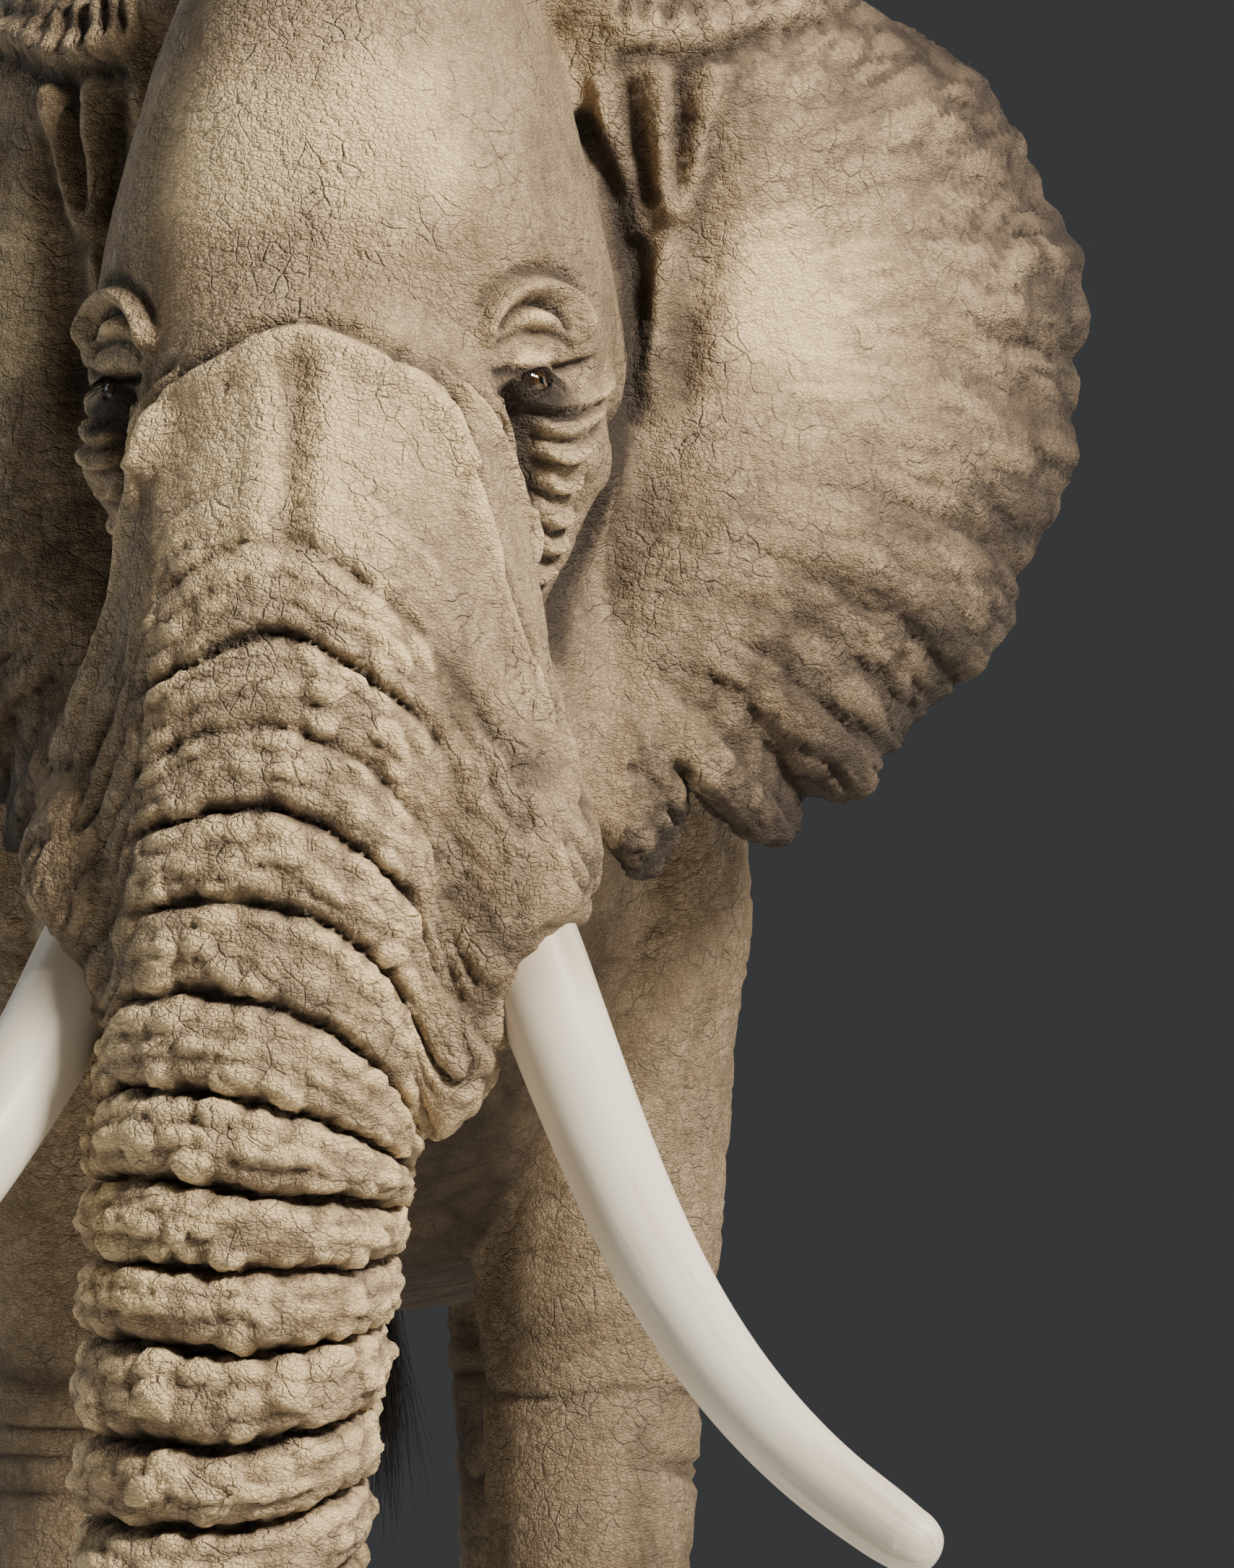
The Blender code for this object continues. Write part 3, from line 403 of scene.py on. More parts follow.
# the ears are thin sheets, so they aren't melted with the rest
from_ear_root = np.abs(head_co[:, 0]) * math.cos(EAR_SWEEP) + head_co[:, 1] * math.sin(EAR_SWEEP)
root_line = EAR_FRONT[0] * math.cos(EAR_SWEEP) + EAR_FRONT[1] * math.sin(EAR_SWEEP)
is_ear = ease(from_ear_root - root_line, 0.03, 0.13) * (head_co[:, 1] < -1.0) * (head_co[:, 1] > -2.35) * (
    np.abs(head_co[:, 0]) > 0.3)
group = skin.vertex_groups.new(name="flesh")
for level in range(0, 11):
    chosen = np.nonzero(np.round(10 * (1 - is_ear)) == level)[0]
    if level and len(chosen):
        group.add(chosen.tolist(), level / 10, "REPLACE")
apply_modifier(skin, "SMOOTH", factor=0.5, iterations=int(MELTING / (SKIN_VOXEL * 1000) ** 2),
               vertex_group="flesh")
apply_modifier(skin, "SMOOTH", factor=0.5, iterations=2)

# the soles are cut flat where they stand, and the mesh is made finer round the eyes
bm = bmesh.new()
bm.from_mesh(skin.data)
cut = bmesh.ops.bisect_plane(bm, geom=[*bm.verts, *bm.edges, *bm.faces], plane_co=(0, 0, 0),
                             plane_no=(0, 0, -1), clear_outer=True)
bmesh.ops.holes_fill(bm, edges=[e for e in cut["geom_cut"] if isinstance(e, bmesh.types.BMEdge)])
eyes = [place_head @ Vector((side * EYE_CENTRE.x, EYE_CENTRE.y, EYE_CENTRE.z)) for side in (1, -1)]
near = [f for f in bm.faces if min((f.verts[0].co - eye).length for eye in eyes) < EYE_PATCH]
edges = {e for f in near for e in f.edges}
bmesh.ops.subdivide_edges(bm, edges=list(edges), cuts=2, use_grid_fill=True, smooth=0.6)
bm.to_mesh(skin.data)
bm.free()


def normals(obj):
    """An object's point normals as an array."""
    out = np.empty(len(obj.data.vertices) * 3, np.float32)
    obj.data.vertices.foreach_get("normal", out)
    return out.reshape(-1, 3).astype(float)


def move_points(obj, co):
    """Puts an object's points in new places."""
    obj.data.vertices.foreach_set("co", co.astype(np.float32).ravel())
    obj.data.update()


def lattice(i, j, k, salt):
    """A repeatable number from 0 to 1 for each whole-numbered place."""
    h = (i * 374761393 + j * 668265263 + k * 1103515245 + salt * 1274126177) & 0xFFFFFFFF
    h = ((h ^ (h >> 13)) * 1274126177) & 0xFFFFFFFF
    return ((h ^ (h >> 16)) & 0xFFFFFF) / 0xFFFFFF


def swell(points, size, salt=0):
    """Smooth noise from -1 to 1, whose waves are about that size along each axis."""
    p = points / np.array(size)
    cell = np.floor(p).astype(np.int64)
    f = p - cell
    f = f * f * (3 - 2 * f)
    total = np.zeros(len(p))
    for a in (0, 1):
        for b in (0, 1):
            for c in (0, 1):
                weight = (f[:, 0] if a else 1 - f[:, 0]) * (f[:, 1] if b else 1 - f[:, 1]) * (
                    f[:, 2] if c else 1 - f[:, 2])
                total += weight * lattice(cell[:, 0] + a, cell[:, 1] + b, cell[:, 2] + c, salt)
    return 2 * total - 1


def cells(points, size, salt=0):
    """Among cells about that size, how round each point stands up in its own, from 0 to 1 in its middle, and
    how far it is from the border, 0 on it to 1."""
    p = points / np.array(size)
    cell = np.floor(p).astype(np.int64)
    near, second = np.full(len(p), 9.0), np.full(len(p), 9.0)
    for a in (-1, 0, 1):
        for b in (-1, 0, 1):
            for c in (-1, 0, 1):
                i, j, k = cell[:, 0] + a, cell[:, 1] + b, cell[:, 2] + c
                away = ((i + lattice(i, j, k, salt) - p[:, 0]) ** 2
                        + (j + lattice(i, j, k, salt + 1) - p[:, 1]) ** 2
                        + (k + lattice(i, j, k, salt + 2) - p[:, 2]) ** 2)
                second = np.minimum(second, np.maximum(near, away))
                near = np.minimum(near, away)
    return np.clip(1 - 1.3 * near, 0, 1), np.clip((np.sqrt(second) - np.sqrt(near)) / 0.30, 0, 1) ** 0.7


def ridged(points, size, salt):
    """Narrow valleys between broad rounded folds about that size, from 0 in a valley to 1."""
    return np.clip(np.abs(swell(points, size, salt)) / 0.35, 0, 1) ** 0.6


def head_frame():
    """The hide's points and normals in the head's frame, with the right side reflected onto the left."""
    co, normal = coordinates(skin), normals(skin)
    head, turned = placed(co, to_head), normal @ to_head[:3, :3].T
    flip = np.column_stack([np.where(head[:, 0] < 0, -1.0, 1.0), np.ones((len(co), 2))])
    return co, normal, head, head * flip, turned * flip


co, normal, head, half, half_normal = head_frame()

# the trunk's own frame: a height that runs on along its bend, and an angle round it, 0 in front
axis = smooth_curve(TRUNK, 24)
run = np.concatenate([[0], np.cumsum(np.linalg.norm(np.diff(axis[:, :3], axis=0), axis=1))])
low_bend = np.argmin(abs(axis[:, 2] - 0.36))
axis_height = np.where(np.arange(len(axis)) <= low_bend, axis[:, 2],
                       axis[low_bend, 2] - (run - run[low_bend]))
near_trunk = np.nonzero((head[:, 1] < -2.20) & (abs(head[:, 0]) < 0.5) & (head[:, 2] < 2.75))[0]
trunk_height, trunk_angle, trunk_off = np.full(len(co), 9.0), np.zeros(len(co)), np.full(len(co), 9.0)
for block in np.array_split(near_trunk, max(1, len(near_trunk) // 20000)):
    away = np.linalg.norm(head[block, None] - axis[None, ::2, :3], axis=2)
    nearest = np.argmin(away, axis=1) * 2
    first, last = np.maximum(nearest - 2, 0), np.minimum(nearest + 2, len(axis) - 1)
    step = axis[last, :3] - axis[first, :3]
    share = np.clip(((head[block] - axis[first, :3]) * step).sum(1) / (step ** 2).sum(1), -0.5, 1.5)
    foot = axis[first, :3] + step * share[:, None]
    step = unit(step)
    trunk_height[block] = axis_height[first] + share * (axis_height[last] - axis_height[first])
    out = head[block] - foot
    front = np.cross(step, (1.0, 0, 0))
    front = unit(front * np.where(front[:, 1:2] > 0, -1, 1))
    trunk_angle[block] = np.arctan2(out[:, 0], (out * front).sum(1))
    trunk_off[block] = np.linalg.norm(out, axis=1) / axis[nearest, 3]

# the heights of the creases round it, how deep each is, and how they sag away from the front
RINGS = (2.395, 2.285, 2.172, 2.065, 1.962, 1.848, 1.723, 1.612, 1.500, 1.398, 1.295, 1.180, 1.077,
         0.980, 0.885, 0.795, 0.710, 0.630, 0.555, 0.485, 0.420, 0.360, 0.305, 0.250, 0.200, 0.150, 0.100,
         0.050, 0.0)
RING_DEPTH = (0.15, 0.30, 0.85, 0.45, 1.0, 0.95, 1.0, 1.1, 1.1, 1.1, 1.1, 1.1, 1.1,
              1.1, 1.0, 1.0, 0.95, 0.9, 0.85, 0.8, 0.75, 0.7, 0.65, 0.6, 0.55, 0.5, 0.4, 0.3, 0.2)
FROWN = (  # height, and how far a ring sinks to the left and to the right
    (2.45, 0.10, 0.10), (2.17, 0.13, 0.09), (1.96, 0.105, 0.07), (1.85, 0.09, 0.045), (1.72, 0.070, 0.01),
    (1.61, 0.040, 0.01), (1.50, 0.0, 0.0), (1.40, -0.018, 0.0), (1.29, -0.026, 0.0), (1.08, -0.025, 0.0),
    (0.0, -0.015, 0.0))
frown = np.array(FROWN)[::-1]
on_trunk = (trunk_height < 8).astype(float) * ease(-trunk_off, -1.45, -1.25)
on_trunk *= 1 - ease(trunk_height, 2.42, 2.55)
on_trunk *= 1 - ease(abs(head[:, 0]), 0.15, 0.23) * ease(trunk_height, 1.66, 1.80)
ringed = np.nonzero(on_trunk > 0.001)[0]
height, angle = trunk_height[ringed], trunk_angle[ringed]
sink = np.where(angle > 0, np.interp(height, frown[:, 0], frown[:, 1]),
                np.interp(height, frown[:, 0], frown[:, 2]))
wander = (0.010 * swell(head[ringed], (0.16, 0.16, 0.10), 5)
          + 0.005 * swell(head[ringed], (0.06, 0.06, 0.05), 6))
level = height + sink * np.minimum(abs(angle), 2.0) ** 1.6 + wander
rings, depths = np.array(RINGS)[::-1], np.array(RING_DEPTH)[::-1]
index = np.clip(np.searchsorted(rings, level) - 1, 0, len(rings) - 2)
phase = np.clip((level - rings[index]) / (rings[index + 1] - rings[index]), 0, 1)
strength = depths[index] * (1 - phase) + depths[index + 1] * phase
to_low, to_high = level - rings[index], rings[index + 1] - level
crease = (depths[index] * bell(to_low, 0.010) + depths[index + 1] * bell(to_high, 0.010))
# a fold hangs over the crease below it, and slopes up gently from there
bulge = strength * (np.sin(math.pi * np.clip(phase, 0, 1) ** 0.85) ** 0.6)
behind = 1 - 0.45 * ease(abs(angle), 1.6, 2.6)
lower = ease(-height, -1.80, -1.35)
lift = np.zeros(len(co))
dark = np.zeros(len(co))
lift[ringed] += on_trunk[ringed] * behind * (
    bulge * (0.010 + 0.016 * lower) - 0.008 - 0.004 * lower - crease * (0.014 + 0.003 * lower))
# painted shade in the creases and low on each fold, and a painted highlight higher on each fold
dark[ringed] += on_trunk[ringed] * (
    np.clip(crease, 0, 1) * 1.1 + 0.25 * strength * (1 - phase) ** 3 - 0.30 * bulge * phase)


def side_of(line, reach):
    """The points near a line drawn on the left of the head, their distance from it, positive on its upper
    side as it runs forward to back and on its outer side as it runs down, and where along it they lie."""
    line = smooth_curve(line, 6)
    low, high = line.min(0) - reach, line.max(0) + reach
    found = np.nonzero(((half > low) & (half < high)).all(1))[0]
    p, best = half[found], np.full(len(found), 9.0)
    signed, place_on = np.zeros(len(found)), np.zeros(len(found))
    total = len(line) - 1
    for i, (a, b) in enumerate(zip(line, line[1:])):
        step = b - a
        share = np.clip(((p - a) @ step) / (step @ step), 0, 1)
        off = p - a - step * share[:, None]
        away = np.linalg.norm(off, axis=1)
        closer = away < best
        side = (np.cross(half_normal[found], step) * off).sum(1)
        best = np.where(closer, away, best)
        signed = np.where(closer, np.where(side < 0, -away, away), signed)
        place_on = np.where(closer, (i + share) / total, place_on)
    keep = best < reach
    return found[keep], signed[keep], place_on[keep]


def fold(line, groove=(0.008, 0.008), ridge=(0.0, 0.01, 0.0), fade=0.12, shade=0.8, end_fade=None):
    """Presses a groove, deep and wide, along a line, and raises a ridge, high, wide and set off to a side.
    The groove gets painted shade and the ridge a painted highlight, and both fade at the line's ends."""
    depth, width = groove
    height, ridge_width, offset = ridge
    reach = max(3 * width, abs(offset) + 2.5 * ridge_width)
    found, signed, at = side_of(line, reach)
    taper = ease(at, -0.001, fade) * ease(1 - at, -0.001, end_fade or fade)
    lift[found] -= taper * depth * bell(signed, width)
    lift[found] += taper * height * bell(signed - offset, ridge_width)
    dark[found] += taper * shade * (depth > 0) * bell(signed, width)
    dark[found] -= taper * min(0.5, 40 * height) * bell(signed - offset, ridge_width)


# the plate over the nose ends in an edge, with a second thin fold outside it
BULGE_EDGE = ((0.0, -2.551, 2.645), (0.04, -2.551, 2.639), (0.127, -2.542, 2.600), (0.173, -2.519, 2.579),
              (0.200, -2.505, 2.546), (0.229, -2.497, 2.444), (0.250, -2.463, 2.360), (0.274, -2.456, 2.276),
              (0.299, -2.458, 2.202), (0.330, -2.453, 2.115), (0.348, -2.448, 2.058), (0.370, -2.452, 1.971))
fold(BULGE_EDGE[:6], (0.014, 0.013), (0.016, 0.024, -0.032), fade=0.02, shade=0.9)
fold(BULGE_EDGE[4:], (0.020, 0.010), (0.016, 0.020, -0.025), fade=0.06, shade=1.2)
OUTER_FOLD = ((0.172, -2.509, 2.602), (0.223, -2.462, 2.561), (0.255, -2.405, 2.512), (0.273, -2.357, 2.471),
              (0.287, -2.311, 2.429), (0.289, -2.280, 2.389), (0.290, -2.300, 2.330))
fold(OUTER_FOLD, (0.010, 0.008), (0.012, 0.011, -0.019), fade=0.10)
# brow, lids and the hollow below the eye
for line, groove, height, fade, shade in (
        (((0.216, -2.447, 2.643), (0.224, -2.441, 2.677), (0.243, -2.425, 2.709), (0.266, -2.399, 2.731),
          (0.292, -2.362, 2.744), (0.319, -2.312, 2.747), (0.341, -2.258, 2.738), (0.355, -2.214, 2.715)),
         (0.010, 0.010), 0.0, 0.2, 0.75),
        (((0.231, -2.434, 2.620), (0.231, -2.435, 2.648), (0.241, -2.427, 2.675), (0.256, -2.411, 2.698),
          (0.276, -2.387, 2.714), (0.298, -2.356, 2.721), (0.319, -2.322, 2.719), (0.335, -2.296, 2.706),
          (0.347, -2.297, 2.682), (0.352, -2.297, 2.657)), (0.0, 0.01), 0.024, 0.1, 0.8),
        (((0.246, -2.421, 2.644), (0.257, -2.411, 2.667), (0.272, -2.394, 2.686), (0.290, -2.370, 2.697),
          (0.310, -2.344, 2.696), (0.324, -2.330, 2.684), (0.335, -2.324, 2.663)),
         (0.014, 0.007), 0.0, 0.12, 1.3)):
    fold(line, groove, (height, 0.013, 0.0), fade, shade)
fold(((0.239, -2.427, 2.616), (0.253, -2.414, 2.638), (0.273, -2.393, 2.651), (0.291, -2.370, 2.657),
      (0.310, -2.349, 2.659), (0.329, -2.329, 2.652), (0.342, -2.306, 2.638)), (0.009, 0.0065), shade=0.9)
fold(((0.239, -2.427, 2.593), (0.256, -2.408, 2.598), (0.289, -2.369, 2.606), (0.323, -2.323, 2.615),
      (0.346, -2.289, 2.628), (0.361, -2.217, 2.655)), (0.012, 0.007), fade=0.15, shade=1.2)
fold(((0.260, -2.403, 2.587), (0.273, -2.379, 2.543), (0.282, -2.355, 2.500), (0.284, -2.332, 2.457),
      (0.285, -2.315, 2.425)), (0.026, 0.018), fade=0.12, shade=1.6)
fold(((0.246, -2.420, 2.564), (0.256, -2.404, 2.536), (0.264, -2.382, 2.505), (0.270, -2.364, 2.477)),
     (0.0, 0.008), (0.010, 0.008, -0.004))
# a dome on the upper lid, with a painted highlight on it
bump_off = half - (0.291, -2.370, 2.676)
bump = np.exp(-(bump_off[:, 0] ** 2 + bump_off[:, 1] ** 2) / 0.030 ** 2 - bump_off[:, 2] ** 2 / 0.012 ** 2)
lift += 0.018 * bump
dark -= 1.4 * bump
# folds stacked below the eye like drapery
CRESCENTS = (
    ((0.282, -2.370, 2.551), (0.316, -2.329, 2.549), (0.344, -2.274, 2.563), (0.362, -2.189, 2.592),
     (0.374, -2.096, 2.640)),
    ((0.288, -2.355, 2.521), (0.316, -2.331, 2.514), (0.343, -2.301, 2.522), (0.360, -2.239, 2.547),
     (0.367, -2.156, 2.582)),
    ((0.291, -2.338, 2.487), (0.314, -2.311, 2.483), (0.335, -2.292, 2.488), (0.349, -2.279, 2.500),
     (0.359, -2.257, 2.523)),
    ((0.291, -2.316, 2.449), (0.308, -2.280, 2.445), (0.324, -2.250, 2.453), (0.337, -2.242, 2.465),
     (0.349, -2.258, 2.485)),
    ((0.290, -2.289, 2.405), (0.303, -2.251, 2.399), (0.315, -2.221, 2.408), (0.325, -2.204, 2.425),
     (0.331, -2.215, 2.446)),
    ((0.285, -2.271, 2.365), (0.297, -2.234, 2.364), (0.307, -2.208, 2.373), (0.315, -2.191, 2.388)),
    ((0.286, -2.245, 2.322), (0.292, -2.225, 2.325), (0.301, -2.204, 2.339), (0.305, -2.196, 2.354)),
    ((0.284, -2.260, 2.275), (0.290, -2.240, 2.280), (0.294, -2.220, 2.296)))
for line in CRESCENTS:
    fold(line, (0.011, 0.0060), (0.013, 0.0100, 0.0135), fade=0.08, shade=1.0, end_fade=0.18)
# behind the cheek the hide falls away in a deep cleft, painted with shade, and rises again to the ear
CLEFT = ((0.376, -2.02, 2.72), (0.372, -2.055, 2.61), (0.356, -2.065, 2.50), (0.340, -2.065, 2.42),
         (0.322, -2.085, 2.34), (0.310, -2.130, 2.26), (0.305, -2.180, 2.18), (0.305, -2.190, 2.08),
         (0.310, -2.15, 1.98))
found, signed, at = side_of(CLEFT, 0.22)
taper, wide = ease(at, 0, 0.2) * ease(1 - at, 0, 0.15), ease(at, 0.45, 0.70)
inward = np.zeros(len(co))
inward[found] = (0.052 + 0.022 * wide) * taper * bell(signed, 0.056 + 0.040 * wide)
dark[found] += 0.9 * taper * bell(signed, np.where(signed < 0, 0.055 + 0.03 * wide, 0.08))
fold(((0.300, -1.994, 3.064), (0.328, -1.962, 3.021), (0.353, -1.931, 2.971), (0.374, -1.913, 2.888),
      (0.389, -1.907, 2.781), (0.384, -1.920, 2.693), (0.375, -1.955, 2.614), (0.372, -2.050, 2.530)),
     (0.022, 0.019), fade=0.08, shade=1.5)
# the ridges of the ear's root, and the flap that hangs over them
for line in (((0.336, -1.999, 3.133), (0.339, -1.981, 3.066), (0.343, -1.956, 3.015), (0.362, -1.930, 2.971),
              (0.375, -1.916, 2.909), (0.392, -1.911, 2.881)),
             ((0.412, -1.981, 3.150), (0.419, -1.966, 3.082), (0.420, -1.943, 3.016), (0.424, -1.922, 2.949),
              (0.433, -1.909, 2.895)),
             ((0.493, -1.934, 3.146), (0.487, -1.932, 3.089), (0.474, -1.924, 3.019), (0.459, -1.916, 2.957),
              (0.442, -1.909, 2.902)),
             ((0.436, -1.905, 2.900), (0.410, -1.905, 2.810), (0.402, -1.908, 2.737),
              (0.392, -1.922, 2.663))):
    fold(line, (0.0, 0.01), (0.021, 0.016, 0.0), fade=0.15)
for line, depth, width in (
        (((0.379, -1.990, 3.120), (0.383, -1.970, 3.054), (0.393, -1.936, 2.990), (0.405, -1.916, 2.922)),
         0.023, 0.015),
        (((0.456, -1.958, 3.141), (0.454, -1.948, 3.072), (0.447, -1.932, 3.004), (0.440, -1.915, 2.936)),
         0.023, 0.013),
        (((0.509, -1.914, 3.079), (0.501, -1.905, 2.995), (0.479, -1.898, 2.896), (0.465, -1.899, 2.795),
          (0.452, -1.913, 2.693), (0.440, -1.935, 2.600)), 0.022, 0.030)):
    fold(line, (depth, width), fade=0.2, shade=0.55)
fold(((0.353, -2.000, 3.133), (0.410, -1.980, 3.139), (0.477, -1.945, 3.141), (0.563, -1.869, 3.191),
      (0.661, -1.694, 3.272)), (0.015, 0.018), (0.014, 0.018, 0.030), fade=0.1, shade=0.65)
for across_root, high, low in ((0.351, -1.994, -1.997), (0.381, -1.975, -1.993), (0.410, -1.955, -1.981),
                               (0.445, -1.924, -1.963), (0.481, -1.902, -1.940), (0.521, -1.869, -1.904)):
    fold(((across_root, high + 0.015, 3.265), (across_root + 0.001, (high + low) / 2, 3.215),
          (across_root + 0.002, low, 3.168)), (0.0, 0.01), (0.014, 0.010, 0.0), fade=0.2)
# painted highlights on raised places, which stand paler: on the ear, the forehead and the nose
EAR_HIGHLIGHT = (0.605, -1.861, 2.795)
for middle, reach, pale in ((EAR_HIGHLIGHT, 0.15, 1.1), ((0.09, -2.491, 2.901), 0.17, 1.2),
                            ((0.06, -2.58, 2.45), 0.15, 0.8)):
    dark -= pale * np.exp(-((half - middle) ** 2).sum(1) / reach ** 2)
# painted shade over the top of the forehead
dark += 0.22 * ease(half[:, 2], 2.62, 2.70) * (half[:, 1] < -1.9)

# the groove down the middle of the nose, between two soft ridges, with painted shade in the groove and
# painted highlights on the ridges
nose = (half[:, 1] < -2.45) * ease(half[:, 2], 2.22, 2.36) * (1 - ease(half[:, 2], 2.56, 2.63))
lift += nose * (0.008 * bell(half[:, 0] - 0.045, 0.020) - 0.008 * bell(half[:, 0], 0.016))
dark += nose * (0.45 * bell(half[:, 0], 0.014) - 0.35 * bell(half[:, 0] - 0.045, 0.016))

# the sheath's lip runs up and out across the tusk's root
SHEATH_END = np.array((0.30, -2.46, 1.80))
from_end = half - SHEATH_END
lip = (1 - ease(abs(from_end[:, 2]), 0.06, 0.30)) * (
    1 - ease(np.hypot(from_end[:, 0], from_end[:, 1]), 0.12, 0.20))
lip *= half[:, 1] < -2.30
tilt = np.clip(from_end[:, 0], -0.12, 0.12) * 0.95 * lip

from_head = np.linalg.inv(to_head)[:3, :3].T
inward = np.column_stack([-inward * np.where(head[:, 0] < 0, -1, 1), 0 * inward, tilt])
move_points(skin, co + normal * lift[:, None] + inward @ from_head)

# finer lumps between the rings, and wrinkles over the rest of the head
co, normal, head, half, half_normal = head_frame()
fine = np.zeros(len(co))
DEEP_SHADE = ((0.372, -1.910, 2.703), (0.365, -1.930, 2.650), (0.357, -1.940, 2.604), (0.358, -1.995, 2.538),
              (0.346, -2.017, 2.492), (0.330, -2.007, 2.446), (0.311, -2.018, 2.410), (0.294, -2.037, 2.378),
              (0.281, -2.058, 2.348), (0.286, -2.080, 2.290), (0.296, -2.080, 2.220))
found, signed, at = side_of(DEEP_SHADE, 0.06)
dark[found] += 1.5 * ease(at, 0, 0.1) * ease(1 - at, 0, 0.15) * bell(signed, 0.019)
rows_in = np.where(np.diff(rings) > 0.085, 3, np.where(np.diff(rings) > 0.06, 2, 1))
pad_at = head[ringed]
row_place = np.concatenate([[0], np.cumsum(rows_in)])[index] + phase * rows_in[index] + (
    0.34 * swell(pad_at, (0.10, 0.10, 0.05), 8) + 0.18 * swell(pad_at, (0.045, 0.045, 0.03), 10)) * np.clip(
    4 * np.minimum(phase, 1 - phase), 0, 1)
row = np.floor(row_place).astype(np.int64)
radius = np.interp(trunk_height[ringed], axis_height[::-1], axis[::-1, 3])
around = np.maximum(6, np.round(2 * math.pi * np.interp(row, np.unique(row), [
    radius[row == r].mean() for r in np.unique(row)]) / 0.060))
pad_place = (trunk_angle[ringed] / (2 * math.pi) * around + lattice(row, 0, 0, 13)
             + 0.55 * swell(pad_at, 0.08, 9) + 0.22 * swell(pad_at, 0.035, 11))
size = 0.40 + 0.95 * lattice(row, np.floor(pad_place).astype(np.int64) % around.astype(np.int64), 0, 14)
pad_row = np.sin(math.pi * (row_place - row) ** 0.75) ** 0.7
pad = pad_row * (0.25 + 0.75 * np.abs(np.sin(math.pi * pad_place)) ** 0.55)
knob, knob_edge = cells(pad_at + 0.008 * swell(pad_at, 0.03, 12)[:, None], (0.062, 0.062, 0.036), 23)
pad = 0.6 * pad + 0.4 * knob ** 0.5 * knob_edge
full = 0.25 + 0.75 * ease(-trunk_height[ringed], -2.38, -2.16)
_, small = cells(pad_at, (0.026, 0.026, 0.020), 21)
fine[ringed] += on_trunk[ringed] * (
    (pad * size - 0.4) * full * (0.0140 + 0.0040 * lower) + (small - 0.7) * (0.0018 + 0.001 * lower))
# painted shade between the pads and painted highlights on them
dark[ringed] += on_trunk[ringed] * full * (0.85 * (1 - pad) ** 1.5 - 1.0 * pad * size)

face_part = np.nonzero((head[:, 1] < -1.75) & (on_trunk < 0.5) & (head[:, 2] > 1.5))[0]
p = head[face_part] + 0.010 * np.column_stack([swell(head[face_part], 0.05, s) for s in (8, 9, 10)])
_, netted = cells(p, (0.045, 0.045, 0.060), 31)
slanted = np.column_stack([0.89 * abs(p[:, 0]) + 0.45 * p[:, 2], p[:, 1],
                           0.89 * p[:, 2] - 0.45 * abs(p[:, 0])])
stroke = ridged(p, (0.050, 0.060, 0.150), 35)
stroke_down = np.minimum(ridged(slanted, (0.034, 0.060, 0.170), 36),
                         ridged(slanted, (0.060, 0.090, 0.260), 40))
pad, pad_edge = cells(slanted, (0.038, 0.050, 0.070), 37)
before_neck = 1 - ease(head[face_part, 1], -1.90, -1.76)
on_sheath = ease(half[face_part, 0], 0.15, 0.22) * (half[face_part, 1] < -2.25) * (
    1 - ease(half[face_part, 2], 2.10, 2.30))
on_nose = (half[face_part, 1] < -2.40) * ease(half[face_part, 2], 2.1, 2.2) * (
    1 - ease(half[face_part, 2], 2.60, 2.66))
calm = 1 - 0.6 * ease(half[face_part, 2], 2.62, 2.70) - 0.8 * np.exp(
    -((half[face_part] - np.array(EYE_CENTRE)) ** 2).sum(1) / 0.10 ** 2)
fine[face_part] += before_neck * (
    (netted - 0.8) * 0.0025 * calm + (stroke - 0.7) * 0.0035 * on_nose
    + (stroke_down - 0.6) * 0.0110 * on_sheath
    + (pad * pad_edge - 0.4) * 0.007 * on_sheath + 0.0025 * swell(p, 0.085, 38) * calm)
# painted shade in the valleys of wrinkles, strokes and cracks and over the top of the forehead, painted
# highlights on the sheath's pads, and tone that differs at random
dark[face_part] += before_neck * (
    (1 - netted) * 0.22 * calm + (1 - stroke) * 0.40 * on_nose
    + ((1 - stroke_down) * 0.85 + 0.24 - 0.45 * pad) * on_sheath - 0.18 * swell(p, 0.06, 39)
    + (1 - stroke) * 0.30 * ease(half[face_part, 2], 2.66, 2.75))

# the ear's wrinkles fan out from its root
sheet = ear_sheet()
tree = kdtree.KDTree((EAR_COLUMNS // 2 + 1) * (EAR_ROWS // 2 + 1))
for n, (c, r) in enumerate((c, r) for c in range(0, EAR_COLUMNS + 1, 2) for r in range(0, EAR_ROWS + 1, 2)):
    tree.insert(sheet[c, r], n)
tree.balance()
ear_part = np.nonzero((half[:, 0] * math.cos(EAR_SWEEP) + half[:, 1] * math.sin(EAR_SWEEP) > root_line + 0.02)
                      & (half[:, 0] > 0.33) & (head[:, 1] < -1.05) & (head[:, 2] > 1.85))[0]
found = [tree.find(half[i]) for i in ear_part]
away = np.array([distance for _, _, distance in found])
off_ear = np.ones(len(co))
off_ear[ear_part] = ease(away, 0.05, 0.12)
ear_part = ear_part[away < 0.06]
on_sheet = np.array([n for _, n, _ in found])[away < 0.06]
rim_place = on_sheet // (EAR_ROWS // 2 + 1) / (EAR_COLUMNS / 2)
reach = on_sheet % (EAR_ROWS // 2 + 1) / (EAR_ROWS / 2)
fan = np.column_stack([rim_place * 3.0, reach * 1.0, np.zeros(len(reach))])
down_ear = ease(rim_place, 0.42, 0.58) * ease(reach, 0.12, 0.45)
long_fold = ridged(fan + 0.02 * swell(half[ear_part], 0.10, 47)[:, None], (0.085, 0.55, 1.0), 48)
fan += 0.03 * np.column_stack([swell(half[ear_part], 0.12, 41), swell(half[ear_part], 0.12, 42), fan[:, 2]])
